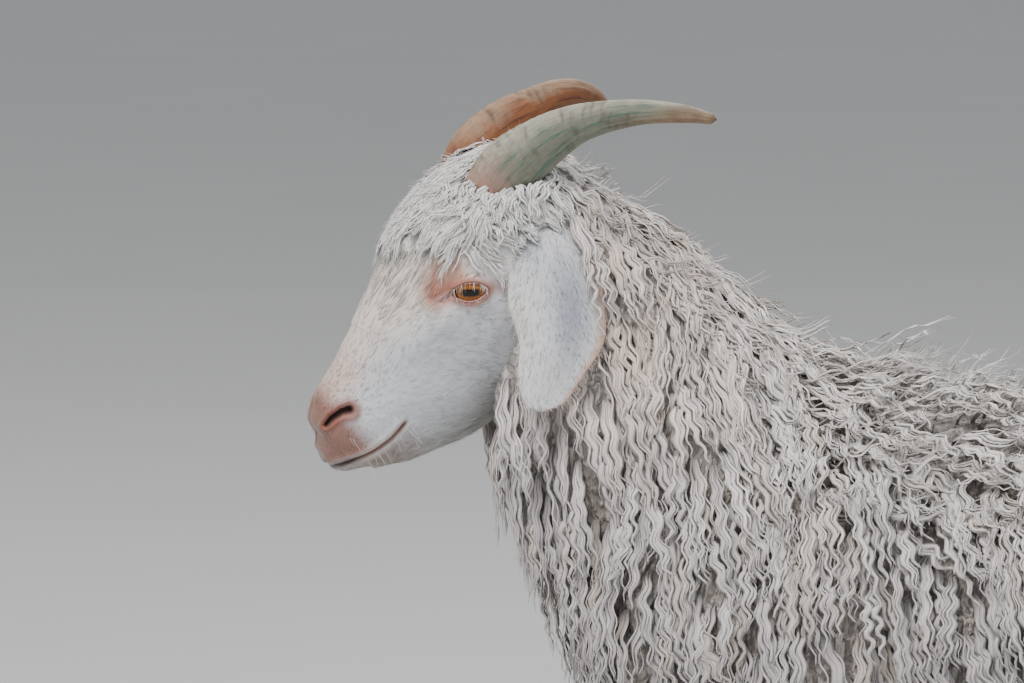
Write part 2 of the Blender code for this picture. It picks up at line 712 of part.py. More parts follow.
def head_mesh(chance):
    """The head with lids, lips, nostrils, the line of the mouth and the forelock."""
    skull = loft("head", HEAD, 20, 16, (COAT_POLL * CORE_SHARE, 0.0, 0.0), start_dome=0.004)
    tree = tree_of(skull)
    added = [eyeball(side, LID) for side in (-1.0, 1.0)] + lips(tree)
    for x, spread in ((-0.003, 0.012), (-0.012, 0.032), (-0.034, 0.022)):
        for side in (-1.0, 1.0):
            above_it = Vector((x, side * spread, 0.2))
            root, outward = tree.ray_cast(above_it, -UP)[:2]
            added.append(grow_lock(tree, root, outward, FORELOCK, chance, lowest=-1.0))
    head = boolean(skull, "UNION", added)
    cutters = [eyeball(side, GAP) for side in (-1.0, 1.0)] + [lid_opening(side) for side in (-1.0, 1.0)]
    cutters += [mouth(tree)] + [nostril(tree, side) for side in (-1.0, 1.0)]
    head = boolean(head, "DIFFERENCE", cutters)
    head.transform(head_matrix())
    return head


def leg_stations(which):
    """The stations of one of the four legs, its foot moved along X and its upper end left in place."""
    pattern = FORELEG if which.startswith("fore") else HINDLEG
    side = -1.0 if which.endswith("right") else 1.0
    highest, lowest = pattern[0].at[2], pattern[-1].at[2]
    placed = []
    for s in pattern:
        share = min(1.0, (highest - s.at[2]) / (0.6 * (highest - lowest)))
        at = (s.at[0] + STRIDE[which] * share, side * s.at[1], s.at[2])
        placed.append(Station(at, s.top, s.low, s.side, s.coat, s.round_top, s.round_low))
    return tuple(placed)


def leg_mesh(which, share, rings=19, sides=10):
    """The whole leg as one closed loft, with a share of its coat."""
    depth = COAT_LEG * share
    return loft(which, leg_stations(which), rings, sides, (depth, depth, depth), level=True)


def leg_sleeve(which):
    """The room that a leg takes under the trunk, as a cutter."""
    return boolean(grown(leg_mesh(which, SLEEVE_SHARE), GAP), "DIFFERENCE", [above(LEG_TOP + GAP)])


def claw(which, inner):
    """One claw of a cloven hoof, flat on the floor."""
    foot = leg_stations(which)[-1].at
    outer_side = 1.0 if foot[1] > 0 else -1.0
    side = -outer_side if inner else outer_side
    middle_y = foot[1] + side * (CLEFT / 2 + CLAW_WIDTH / 2)
    rings = []
    for level, shrink, ahead in ((0.0, 1.0, 0.0), (0.010, 0.98, 0.003), (0.060, 0.80, 0.020)):
        ring = []
        for k in range(12):
            turn = math.tau * k / 12
            c, s = math.cos(turn), math.sin(turn)
            toe = 1.0 - 0.42 * max(-c, 0.0) ** 1.5
            x = foot[0] + HEEL_REACH + ahead - CLAW_LENGTH / 2 + c * CLAW_LENGTH / 2 * shrink
            ring.append(Vector((x, middle_y + s * CLAW_WIDTH / 2 * shrink * toe, level)))
        rings.append(ring)
    return mesh_from_rings("claw", rings)


def coronet_plane(which):
    """A point and normal of the sloping top of a hoof."""
    foot = leg_stations(which)[-1].at
    slope = (TOE_HEIGHT - HEEL_HEIGHT) / CLAW_LENGTH
    return Vector((foot[0], foot[1], (TOE_HEIGHT + HEEL_HEIGHT) / 2)), Vector((slope, 0.0, 1.0)).normalized()


def upper_leg(which, chance):
    """Forearm or gaskin in its fleece, clear of the trunk and of the bare leg below."""
    cut = KNEE_CUT if which.startswith("fore") else HOCK_CUT
    core = leg_mesh(which, CORE_SHARE)
    tree = tree_of(core)
    coat = coat_of(COAT_LEG, COAT_LEG, COAT_LEG, CORE_SHARE)
    fleeced = tuple(s for s in leg_stations(which) if cut + 0.05 < s.at[2] < LEG_TOP + 0.06)
    habits = [LEG_LOCKS] * 2
    locks = locks_on(tree, fleeced, coat, 2, (-48.0, 38.0), habits, chance, True, cut + 0.006)
    leg = boolean(core, "UNION", locks)
    return boolean(leg, "DIFFERENCE", [above(LEG_TOP), below(cut + GAP / 2)])


def lower_leg(which):
    """The short-haired cannon, fetlock and pastern."""
    cut = KNEE_CUT if which.startswith("fore") else HOCK_CUT
    place, normal = coronet_plane(which)
    return boolean(leg_mesh(which, 1.0), "DIFFERENCE", [above(cut - GAP / 2), beyond(place, -normal, -GAP)])


def neck_core():
    """The neck under its locks."""
    return loft("neck", NECK, 9, 14, coat_of(COAT_TOP, COAT_SIDE, COAT_SIDE, CORE_SHARE))


def neck_mesh(chance):
    """The neck, cut clear of head, trunk, ears and horns."""
    core = neck_core()
    tree = tree_of(core)
    coat = coat_of(COAT_TOP, COAT_SIDE, COAT_SIDE, CORE_SHARE)
    habits = (NAPE_LOCKS, NECK_LOCKS, NECK_LOCKS, NECK_LOCKS, NECK_LOCKS)
    locks = locks_on(tree, NECK, coat, 3, (78.0, 42.0, 8.0, -28.0, -64.0), habits, chance)
    neck = boolean(core, "UNION", locks)
    cutters = [
        beyond(NECK_CUT_AT, NECK_CUT_NORMAL, -GAP / 2), beyond(HEAD_CUT_AT, -HEAD_CUT_NORMAL, -GAP / 2),
    ]
    neck = boolean(neck, "DIFFERENCE", cutters)
    return boolean(neck, "DIFFERENCE", head_fittings())


def head_fittings():
    """Ears and horns grown by the gap, as cutters."""
    return [grown(shape(name), 3 * GAP) for shape in (horn, ear) for name in ("left", "right")]


def trunk_mesh(chance):
    """The trunk, cut clear of neck, legs and tail."""
    coat = coat_of(COAT_TOP, COAT_UNDER, COAT_SIDE, CORE_SHARE)
    core = loft("torso", TRUNK, 14, 18, coat, 0.022, 0.020)
    haunches = [
        boolean(leg_mesh(which, CORE_SHARE), "DIFFERENCE", [below(LEG_TOP + 0.001)])
        for which in ("hind_left", "hind_right")
    ]
    tree = tree_of(core)
    habits = (BACK_LOCKS, TRUNK_LOCKS, TRUNK_LOCKS, TRUNK_LOCKS, FRINGE_LOCKS)
    locks = locks_on(tree, TRUNK, coat, 7, (79.0, 50.0, 18.0, -15.0, -50.0), habits, chance)
    for start, away in END_ROOTS:
        for side in (-1.0, 1.0):
            aim = Vector((away[0], side * away[1], away[2])).normalized()
            root, outward = tree.ray_cast(Vector(start), aim)[:2]
            locks.append(grow_lock(tree, root, outward, END_LOCKS, chance))
    trunk = boolean(core, "UNION", haunches + [neck_core()] + locks)
    trunk = boolean(trunk, "DIFFERENCE", [beyond(NECK_CUT_AT, -NECK_CUT_NORMAL, -GAP / 2)])
    sleeves = [leg_sleeve(which) for which in STRIDE] + [grown(tail_core(1.0), 2 * GAP)]
    return boolean(trunk, "DIFFERENCE", sleeves)


def tail_core(share):
    """The tail with a share of its coat, its root inside the rump."""
    coat = coat_of(COAT_TAIL, COAT_TAIL, COAT_TAIL, share)
    return loft("tail", TAIL, 8, 10, coat, 0.0, 0.008)


def tail_mesh(chance):
    """The short raised tail and its locks, within the room that the rump leaves it."""
    core = tail_core(CORE_SHARE)
    coat = coat_of(COAT_TAIL, COAT_TAIL, COAT_TAIL, CORE_SHARE)
    habits = [TAIL_LOCKS] * 2
    locks = locks_on(tree_of(core), TAIL[1:], coat, 1, (55.0, -30.0), habits, chance, False, 0.5)
    return boolean(core, "UNION", locks)


def add_node(name, mesh, finish, origin):
    """One body part as an object whose origin is a natural point of it."""
    mesh = largest_part(mesh)
    mesh.transform(Matrix.Translation(-Vector(origin)))
    mesh.name = name
    mesh.materials.clear()
    mesh.materials.append(material_of(finish))
    mesh.shade_smooth()
    obj = bpy.data.objects.new(name, mesh)
    obj.location = origin
    collection_named("angora_goat").objects.link(obj)
    return obj


def build_head(chance):
    """Head, eyes, ears and horns."""
    place = head_matrix()
    head = boolean(head_mesh(chance), "DIFFERENCE", [beyond(HEAD_CUT_AT, HEAD_CUT_NORMAL, -GAP / 2)])
    head = boolean(head, "DIFFERENCE", head_fittings())
    made = [add_node("head", head, SHORT_HAIR, HEAD_AT)]
    for name, side in (("left", -1.0), ("right", 1.0)):
        ball = eyeball(side)
        ball.transform(place)
        finish = HORN_LEFT if name == "left" else HORN_RIGHT
        made.append(add_node(f"eye_{name}", ball, EYE, place @ Vector((EYE_AT.x, side * EYE_AT.y, EYE_AT.z))))
        made.append(add_node(f"horn_{name}", horn(name), finish, place @ Vector(HORN_PATHS[name].points[0])))
        root = Vector((EAR_ROOT.x, side * EAR_ROOT.y, EAR_ROOT.z))
        made.append(add_node(f"ear_{name}", ear(name), SHORT_HAIR, place @ root))
    return made


def build_body(chance):
    """Neck, trunk and tail."""
    return [
        add_node("neck", neck_mesh(chance), FLEECE, NECK[2].at),
        add_node("torso", trunk_mesh(chance), FLEECE, TRUNK[4].at),
        add_node("tail", tail_mesh(chance), FLEECE, TAIL[0].at),
    ]


def build_legs(chance):
    """Upper legs, cannons and claws."""
    made = []
    for which in STRIDE:
        stations = leg_stations(which)
        made.append(add_node(f"{which}_leg", upper_leg(which, chance), FLEECE, stations[1].at))
        made.append(add_node(f"{which}_cannon", lower_leg(which), SHORT_HAIR, stations[5].at))
        place, normal = coronet_plane(which)
        for inner in (False, True):
            label = "inner" if inner else "outer"
            toe = boolean(claw(which, inner), "DIFFERENCE", [beyond(place, normal)])
            made.append(add_node(f"{which}_claw_{label}", toe, HOOF, (place.x, place.y, 0.0)))
    return made


def main():
    """Builds every node of the goat under one empty."""
    clear_scene()
    made = build_head(random.Random(HEAD_SEED))
    made += build_body(random.Random(BODY_SEED))
    made += build_legs(random.Random(LEG_SEED))
    stand = bpy.data.objects.new("goat_stands_here", None)
    collection_named("angora_goat").objects.link(stand)
    for obj in made:
        obj.parent = stand


main()
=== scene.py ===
"""The dressed angora goat: one skin, its fleece and short hair, and eyes, ears, horns and hooves.

Metres, +Z up. The goat faces -X, its left side faces -Y, and it stands on the floor at Z = 0.
"""

import json
import logging
import math
from dataclasses import dataclass, field, replace
from enum import Enum
from itertools import product
from typing import Callable, Sequence

import bmesh
import bpy
import numpy as np
from bpy.types import GeometryNodeTree, Material, Mesh, NodeSocket, Object, ShaderNodeTree
from mathutils import Matrix, Vector
from mathutils.bvhtree import BVHTree
from mathutils.kdtree import KDTree

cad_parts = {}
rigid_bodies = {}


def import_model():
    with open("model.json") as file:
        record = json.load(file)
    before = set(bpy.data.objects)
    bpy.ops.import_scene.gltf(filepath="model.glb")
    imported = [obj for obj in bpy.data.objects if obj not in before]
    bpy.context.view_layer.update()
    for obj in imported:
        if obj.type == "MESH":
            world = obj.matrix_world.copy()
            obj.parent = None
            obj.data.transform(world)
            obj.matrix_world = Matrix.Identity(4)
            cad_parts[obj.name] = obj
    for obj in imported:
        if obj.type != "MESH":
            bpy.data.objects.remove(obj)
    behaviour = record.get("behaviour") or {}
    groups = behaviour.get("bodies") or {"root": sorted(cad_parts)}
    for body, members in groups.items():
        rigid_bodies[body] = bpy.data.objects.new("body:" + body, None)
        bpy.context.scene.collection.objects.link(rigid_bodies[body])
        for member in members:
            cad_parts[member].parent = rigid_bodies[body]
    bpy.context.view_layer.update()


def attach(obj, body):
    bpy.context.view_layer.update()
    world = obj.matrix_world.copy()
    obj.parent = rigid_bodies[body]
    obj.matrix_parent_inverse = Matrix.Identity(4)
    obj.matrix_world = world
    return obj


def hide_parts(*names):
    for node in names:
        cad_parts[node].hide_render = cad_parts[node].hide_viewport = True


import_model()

logging.basicConfig(level=logging.INFO, format="%(message)s")
log = logging.getLogger("goat")

Array = np.ndarray
Triple = tuple[float, float, float]
TAU = math.tau
UP = np.array((0.0, 0.0, 1.0))

# Coat depth over the skin, and the share of it that the close underwool fills
COAT_TOP = 0.04
COAT_SIDE = 0.042
COAT_UNDER = 0.075
COAT_LEG = 0.026
COAT_TAIL = 0.02
COAT_POLL = 0.025
UNDERWOOL_SHARE = 0.42

# The head's own frame: the muzzle runs along -x and the brow is up
HEAD_AT = (-0.33, -0.004, 0.733)
HEAD_PITCH = -42.0
HEAD_YAW = 15.0
HEAD_ROLL = 3.0

EYE_RADIUS = 0.0142
EYE_AT = (-0.0542, 0.037, 0.015)
LID = 0.0021
KNEE_CUT = 0.185
HOCK_CUT = 0.205


class Side(Enum):
    """The goat's two sides, as the sign of Y."""

    LEFT = -1.0
    RIGHT = 1.0


@dataclass(frozen=True)
class Station:
    """One cross-section of a body part: where it is and how far the skin reaches from there."""

    at: Triple
    top: float
    low: float
    side: float
    coat: float = 1.0
    round_top: float = 2.0
    round_low: float = 2.0


def stations(*rows: Sequence[float]) -> tuple[Station, ...]:
    """Makes stations from rows of numbers.

    Args:
        rows: For each station its place and its reach up, down and sideways in millimetres, then
            its share of coat and its roundness above and below where they aren't the usual ones.

    Returns:
        The stations, in metres.
    """
    made = []
    for row in rows:
        x, y, z, *reach = (round(value / 1000, 6) for value in row[:6])
        made.append(Station((x, y, z), *reach, *row[6:]))
    return tuple(made)


TRUNK = stations(
    (-272, 0, 440, 65, 65, 50),
    (-240, 0, 450, 120, 108, 86),
    (-165, 0, 455, 163, 137, 114),
    (-90, 0, 450, 161, 138, 127),
    (0, 0, 445, 159, 133, 146),
    (100, 0, 445, 157, 127, 155),
    (200, 0, 455, 151, 123, 148),
    (285, 0, 470, 139, 120, 133),
    (350, 0, 480, 118, 105, 116),
    (400, 0, 490, 85, 85, 86),
)

NECK = stations(
    (-335, 0, 705, 72, 50, 44, 0.4),
    (-305, 0, 675, 84, 62, 48, 0.55),
    (-268, 0, 625, 94, 70, 56, 0.85),
    (-225, 0, 568, 110, 85, 70),
    (-165, 0, 500, 110, 120, 90),
)

HEAD = stations(
    (-198.5, 0, -9.5, 8.5, 9, 11.5, 0.0),
    (-191, 0, -10.5, 18.5, 19.5, 19, 0.0, 2.2, 2.2),
    (-181, 0, -9.5, 29.5, 30, 23.8, 0.0, 2.3, 2.2),
    (-165, 0, -9, 36.5, 39, 26.2, 0.04, 2.2),
    (-140, 0, -10, 46, 50, 30, 0.04, 2.0, 1.8),
    (-115, 0, -8, 51, 65, 34.5, 0.06, 2.1, 1.7),
    (-90, 0, 0, 52, 84, 40, 0.12, 2.2, 1.6),
    (-70, 0, 4, 56, 92, 46.5, 0.5, 2.3, 1.6),
    (-50, 0, 5, 60, 94, 50.5, 0.9, 2.4, 1.6),
    (-30, 0, 3, 63.5, 92, 52, 1.0, 2.4, 1.7),
    (-5, 0, 0, 64, 82, 51, 0.8, 2.4),
    (22, 0, -10, 60, 63, 47, 0.8, 2.3),
    (50, 0, -10, 40, 48, 40, 0.6),
)

FORELEG = stations(
    (-185, -70, 420, 45, 45, 36, 0.6),
    (-172, -76, 360, 36, 36, 30),
    (-174, -78, 300, 27, 26, 23),
    (-178, -78, 245, 20, 21, 19, 0.8),
    (-180, -78, 205, 20, 21, 20, 0.25),
    (-179, -78, 170, 15.5, 15, 14, 0.1),
    (-177, -78, 120, 14.5, 13, 12.8, 0.1),
    (-176, -78, 85, 18.5, 16.5, 16.8, 0.1),
    (-182, -78, 62, 17, 16, 16.5, 0.1),
    (-192, -78, 40, 22.5, 20.5, 20.5, 0.05),
    (-199, -78, 20, 25, 22.5, 21.5, 0.0),
)

HINDLEG = stations(
    (325, -70, 480, 70, 70, 50, 0.3),
    (310, -82, 420, 70, 72, 50, 0.8),
    (312, -88, 362, 56, 52, 40),
    (345, -88, 305, 36, 34, 28),
    (382, -86, 260, 22, 24, 20, 0.7),
    (398, -85, 228, 21, 23, 19.5, 0.25),
    (397, -85, 190, 17.5, 16.5, 14.5, 0.1),
    (388, -85, 130, 15, 13.5, 13, 0.1),
    (381, -85, 86, 18.5, 16.5, 16.8, 0.1),
    (373, -85, 62, 17, 16, 16.5, 0.1),
    (363, -85, 40, 22.5, 20.5, 20.5, 0.05),
    (356, -85, 20, 25, 22.5, 21.5, 0.0),
)

TAIL = stations(
    (374, 0, 546, 18, 22, 22, 0.4),
    (405, 0, 572, 14, 16, 17, 0.9),
    (432, 0, 600, 10, 12, 13),
    (462.5, 0, 636, 6, 8, 9),
)

STRIDE = {"fore_left": -0.01, "fore_right": 0.016, "hind_left": 0.012, "hind_right": -0.014}


def leg_stations(which: str) -> tuple[Station, ...]:
    """The stations of one leg, its foot moved along X and its upper end left in place.

    Args:
        which: The leg, as named in STRIDE.

    Returns:
        The placed stations, from the body down.
    """
    pattern = FORELEG if which.startswith("fore") else HINDLEG
    side = -1.0 if which.endswith("right") else 1.0
    highest, lowest = pattern[0].at[2], pattern[-1].at[2]
    placed = []
    for s in pattern:
        share = min(1.0, (highest - s.at[2]) / (0.6 * (highest - lowest)))
        placed.append(replace(s, at=(s.at[0] + STRIDE[which] * share, side * s.at[1], s.at[2])))
    return tuple(placed)


def head_matrix() -> Matrix:
    """The turn and place that set the head's frame in the goat's."""
    turn = (
        Matrix.Rotation(math.radians(HEAD_YAW), 4, "Z")
        @ Matrix.Rotation(math.radians(HEAD_ROLL), 4, "X")
        @ Matrix.Rotation(math.radians(HEAD_PITCH), 4, "Y")
    )
    return Matrix.Translation(HEAD_AT) @ turn


HEAD_PLACE = np.array(head_matrix())


def to_world(points: Array) -> Array:
    """Points of the head's frame, in the goat's."""
    return points @ HEAD_PLACE[:3, :3].T + HEAD_PLACE[:3, 3]


def to_head(points: Array) -> Array:
    """Points of the goat's frame, in the head's."""
    return (points - HEAD_PLACE[:3, 3]) @ HEAD_PLACE[:3, :3]


def ease(value: Array | float, low: float, high: float) -> Array:
    """A smooth step from 0 at low to 1 at high, where high may lie under low."""
    x = np.clip((np.asarray(value, float) - low) / (high - low), 0.0, 1.0)
    return x * x * (3.0 - 2.0 * x)


def unit(vectors: Array) -> Array:
    """The vectors at length one."""
    return vectors / np.maximum(np.linalg.norm(vectors, axis=-1, keepdims=True), 1e-12)


def circle(count: int) -> Array:
    """Even angles round a ring."""
    return np.arange(count) * TAU / count


def around(count: int, closed: bool = False) -> Array:
    """Even angles round a part from its lowest side, up to the first one again if closed."""
    return np.linspace(-math.pi / 2, 1.5 * math.pi, count, endpoint=closed)


def bell(value: Array, middle: float, width: float) -> Array:
    """A soft hump that is 1 at the middle."""
    return np.exp(-(((value - middle) / width) ** 2))


def toward(start: Array, end: Array | Sequence[float], share: Array | float) -> Array:
    """The start moved by a share of the way to the end."""
    return start + (np.asarray(end) - start) * share


def dots(first: Array, second: Array) -> Array:
    """The scalar products of two arrays of vectors, with their last axis kept."""
    return np.sum(first * second, axis=-1, keepdims=True)


def smooth_rows(rows: Array, wanted: Array | int) -> Array:
    """Reads rows off a smooth curve through the given ones, whose first three numbers are a place.

    Args:
        rows: The rows to pass through.
        wanted: How many even steps to take, or the distances along the curve to read at.

    Returns:
        One row for each distance.
    """
    steps = np.linalg.norm(np.diff(rows[:, :3], axis=0), axis=1)
    along = np.concatenate([[0.0], np.cumsum(steps)])
    slope = np.empty_like(rows)
    slope[1:-1] = (rows[2:] - rows[:-2]) / (along[2:] - along[:-2])[:, None]
    slope[0] = (rows[1] - rows[0]) / steps[0]
    slope[-1] = (rows[-1] - rows[-2]) / steps[-1]
    if isinstance(wanted, int):
        wanted = np.linspace(0.0, along[-1], wanted)
    first = np.clip(np.searchsorted(along, wanted, side="right") - 1, 0, len(steps) - 1)
    span = steps[first][:, None]
    x = (wanted - along[first])[:, None] / span
    return (
        rows[first] * (2 * x**3 - 3 * x**2 + 1)
        + rows[first + 1] * (3 * x**2 - 2 * x**3)
        + slope[first] * span * (x**3 - 2 * x**2 + x)
        + slope[first + 1] * span * (x**3 - x**2)
    )


def graded(length: Array, coarse: float, zones: Sequence[Triple]) -> Array:
    """Spreads places along a length, closer together inside the zones.

    Args:
        length: Evenly rising distances, finely stepped.
        coarse: The spacing outside the zones.
        zones: For each zone, where it starts, where it ends and its spacing.

    Returns:
        Positions as fractions of the index range of length.
    """
    rate = np.full(len(length), 1.0 / coarse)
    for start, stop, fine in zones:
        edge = 0.2 * (stop - start)
        inside = ease(length, start - edge, start) * ease(length, stop + edge, stop)
        rate += inside * (1.0 / fine - 1.0 / coarse)
    total = np.concatenate([[0.0], np.cumsum((rate[1:] + rate[:-1]) / 2 * np.diff(length))])
    return np.interp(np.linspace(0.0, total[-1], int(total[-1]) + 1), total, np.arange(len(length)))


class Loft:
    """A body part swept through its stations, with a share of its coat on it."""

    def __init__(self, parts: Sequence[Station], depths: Triple, level: bool = False) -> None:
        """Keeps the stations as rows of numbers.

        Args:
            parts: The cross-sections, end to end.
            depths: Depth of coat on the top, the underside and the sides.
            level: Whether the cross-sections stay horizontal.
        """
        top, low, side = depths
        self.level = level
        self.rows = np.array([
            (*s.at, s.top + s.coat * top, s.low + s.coat * low, s.side + s.coat * side, s.round_top,
             s.round_low) for s in parts
        ])

    def length(self) -> float:
        """The length of the line through the stations."""
        return float(np.linalg.norm(np.diff(self.rows[:, :3], axis=0), axis=1).sum())

    def grid(self, wanted: Array | int, turns: Array) -> Array:
        """Points of the surface.

        Args:
            wanted: Distances along the part, or how many even steps to take.
            turns: Angles round it, counted from its +Y side towards its top.

        Returns:
            An array of points, one row for each distance.
        """
        rows = smooth_rows(self.rows, wanted)
        places = rows[:, :3]
        tangent = np.tile(-UP, (len(rows), 1)) if self.level else unit(np.gradient(places, axis=0))
        across = unit(np.array((0.0, 1.0, 0.0)) - tangent * tangent[:, 1:2])
        up = np.cross(tangent, across)
        c, s = np.cos(turns)[None, :], np.sin(turns)[None, :]
        power = np.where(s >= 0, 2.0 / rows[:, 6:7], 2.0 / rows[:, 7:8])
        reach = np.where(s >= 0, rows[:, 3:4], rows[:, 4:5])
        wide = rows[:, 5:6] * np.sign(c) * np.abs(c) ** power
        high = reach * np.sign(s) * np.abs(s) ** power
        return places[:, None] + across[:, None] * wide[..., None] + up[:, None] * high[..., None]


@dataclass(frozen=True)
class Cell:
    """A body part's place on the coat's map."""

    u: float
    v: float
    wide: float
    high: float

    def at(self, share: Array, turn: Array) -> Array:
        """The place on the map for shares along and round the part."""
        return np.stack([self.u + self.wide * turn, self.v + self.high * share], -1)


def paint_points(mesh: Mesh, name: str, values: Array) -> None:
    """Stores vectors, or the colours named Coat, on a mesh's points.

    Args:
        mesh: The mesh.
        name: The attribute's name.
        values: One row of three numbers for each point.
    """
    kind, key = "FLOAT_VECTOR", "vector"
    if name == "Coat":
        kind, key = "FLOAT_COLOR", "color"
        values = np.concatenate([values, np.ones((len(values), 1))], 1)
    mesh.attributes.new(name, kind, "POINT").data.foreach_set(key, values.astype(np.float32).ravel())


@dataclass
class Build:
    """A mesh in the making: its points, its faces and what is painted on each point."""

    points: Array
    quads: Array
    tris: Array = field(default_factory=lambda: np.zeros((0, 3), int))
    maps: dict[str, Array] = field(default_factory=dict)
    painted: dict[str, Array] = field(default_factory=dict)

    def mesh(self, name: str) -> Mesh:
        """A Blender mesh of it, shaded smooth.

        Args:
            name: The mesh's name.

        Returns:
            The mesh.
        """
        mesh = bpy.data.meshes.new(name)
        corners = np.concatenate([self.quads.ravel(), self.tris.ravel()]).astype(np.int32)
        sizes = np.concatenate([np.full(len(self.quads), 4), np.full(len(self.tris), 3)])
        mesh.vertices.add(len(self.points))
        mesh.vertices.foreach_set("co", self.points.astype(np.float32).ravel())
        mesh.loops.add(len(corners))
        mesh.loops.foreach_set("vertex_index", corners)
        mesh.polygons.add(len(sizes))
        mesh.polygons.foreach_set("loop_start", (np.cumsum(sizes) - sizes).astype(np.int32))
        for key, values in self.maps.items():
            layer = mesh.uv_layers.new(name=key)
            layer.uv.foreach_set("vector", values[corners].astype(np.float32).ravel())
        for key, values in self.painted.items():
            paint_points(mesh, key, values)
        mesh.update(calc_edges=True)
        mesh.shade_smooth()
        return mesh


def swept(
    grid: Array, start_tip: Array | None = None, end_tip: Array | None = None, cell: Cell | None = None
) -> Build:
    """A closed surface from a grid of rings, each end closed by a fan.

    Args:
        grid: Rings of points.
        start_tip: The point that closes the first ring, or None for its middle.
        end_tip: The point that closes the last ring, or None for its middle.
        cell: Its place on the coat's map, where it has one.

    Returns:
        The surface, its faces outwards.
    """
    rows, columns = grid.shape[:2]
    start_tip = grid[0].mean(0) if start_tip is None else start_tip
    end_tip = grid[-1].mean(0) if end_tip is None else end_tip
    j = np.arange(columns)
    k = (j + 1) % columns
    ring = np.arange(rows - 1)[:, None] * columns
    quads = np.stack(np.broadcast_arrays(ring + j, ring + k, ring + columns + k, ring + columns + j), -1)
    last, tip = (rows - 1) * columns, np.full(columns, rows * columns)
    tris = np.concatenate([np.stack([k, j, tip], 1), np.stack([last + j, last + k, tip + 1], 1)])
    made = Build(np.concatenate([grid.reshape(-1, 3), [start_tip, end_tip]]), quads.reshape(-1, 4), tris)
    if cell:
        share = np.append(np.repeat(np.linspace(0.0, 1.0, rows), columns), [0.0, 1.0])
        made.maps["OFBake"] = cell.at(share, np.append(np.tile(j / columns, rows), [0.5, 0.5]))
    return outward(made)


def layered(ground: Array, coats: Sequence[tuple[Array, Triple]]) -> Array:
    """A colour at each place with others laid over it in turn, each by its share there.

    Args:
        ground: The colours under the others.
        coats: Shares, each with its colour.

    Returns:
        The blended colours.
    """
    for share, colour in coats:
        ground = toward(ground, colour, np.clip(share, 0.0, 1.0)[..., None])
    return ground


def outward(made: Build) -> Build:
    """The closed surface with its faces turned outwards.

    Args:
        made: The surface.

    Returns:
        The same surface.
    """
    p = made.points
    a = np.concatenate([made.quads[:, :3], made.quads[:, [0, 2, 3]], made.tris])
    volume = np.einsum("ij,ij->i", p[a[:, 0]], np.cross(p[a[:, 1]], p[a[:, 2]])).sum()
    if volume < 0:
        made.quads = made.quads[:, ::-1]
        made.tris = made.tris[:, ::-1]
    return made


def linked(name: str, data: object) -> Object:
    """A new object in the scene.

    Args:
        name: The object's name.
        data: Its mesh, light or camera.

    Returns:
        The object.
    """
    obj = bpy.data.objects.new(name, data)
    bpy.context.scene.collection.objects.link(obj)
    return obj


def add_piece(name: str, mesh: Mesh, finish: Material, slot: str, *nodes: str) -> None:
    """Shows a mesh as a piece of the goat.

    Args:
        name: The piece's name.
        mesh: Its mesh, in the goat's frame.
        finish: Its material.
        slot: The record's material slot; not used.
        nodes: The solids that it stands for.
    """
    mesh.name = name
    mesh.materials.clear()
    mesh.materials.append(finish)
    piece = linked(name, mesh)
    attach(piece, "root")
    if nodes:
        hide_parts(*nodes)
    log.info("%s: %d points, %d faces", name, len(mesh.vertices), len(mesh.polygons))


def evaluated(obj: Object) -> Mesh:
    """A plain mesh of the object with its modifiers applied.

    Args:
        obj: The object.

    Returns:
        The mesh.
    """
    graph = bpy.context.evaluated_depsgraph_get()
    graph.update()
    return bpy.data.meshes.new_from_object(obj.evaluated_get(graph))


def mesh_arrays(mesh: Mesh) -> tuple[Array, Array]:
    """The points and the triangles of a mesh.

    Args:
        mesh: The mesh.

    Returns:
        The points and the indices of each triangle's corners.
    """
    points = np.empty(len(mesh.vertices) * 3)
    mesh.vertices.foreach_get("co", points)
    mesh.calc_loop_triangles()
    tris = np.empty(len(mesh.loop_triangles) * 3, np.int32)
    mesh.loop_triangles.foreach_get("vertices", tris)
    return points.reshape(-1, 3), tris.reshape(-1, 3)


def search_tree(points: Array, tris: Array) -> BVHTree:
    """A search tree over triangles."""
    return BVHTree.FromPolygons(points.tolist(), tris.tolist(), all_triangles=True)


def joined(operation: str, swapped: bool = False) -> Callable[["Signal", "Signal | float"], "Signal"]:
    """An operator that joins two numbers with one Math node, the other one first if swapped.

    Args:
        operation: The Math node's operation.
        swapped: Whether the other number comes first.

    Returns:
        The operator.
    """

    def join(number: "Signal", other: "Signal | float" = 0.0) -> "Signal":
        """Makes the node.

        Args:
            number: This number.
            other: The other one.

        Returns:
            The result.
        """
        first, second = (other, number) if swapped else (number, other)
        nodes = number.nodes
        return Signal(nodes, nodes.node("ShaderNodeMath", {"operation": operation}, {0: first, 1: second}))

    return join


class Signal:
    """A number that varies inside a material or a tree, for use in Python expressions."""

    def __init__(self, nodes: "Nodes", socket: NodeSocket) -> None:
        """Wraps an output socket of a tree."""
        self.nodes = nodes
        self.socket = socket

    __add__ = __radd__ = joined("ADD")
    __mul__ = __rmul__ = joined("MULTIPLY")
    __sub__ = joined("SUBTRACT")
    __rsub__ = joined("SUBTRACT", swapped=True)
    __truediv__ = joined("DIVIDE")
    __pow__ = joined("POWER")
    turn = joined("ARCTAN2")
    size = joined("ABSOLUTE")

    def ease(self, low: float, high: float) -> "Signal":
        """A smooth step of this number, from 0 at low to 1 at high.

        Args:
            low: Where it starts.
            high: Where it ends, which may lie under low.

        Returns:
            The step.
        """
        flip = low > high
        values = {"Value": self, "From Min": min(low, high), "From Max": max(low, high)}
        values.update({"To Min": float(flip), "To Max": float(not flip)})
        smooth = {"interpolation_type": "SMOOTHSTEP"}
        return Signal(self.nodes, self.nodes.node("ShaderNodeMapRange", smooth, values))


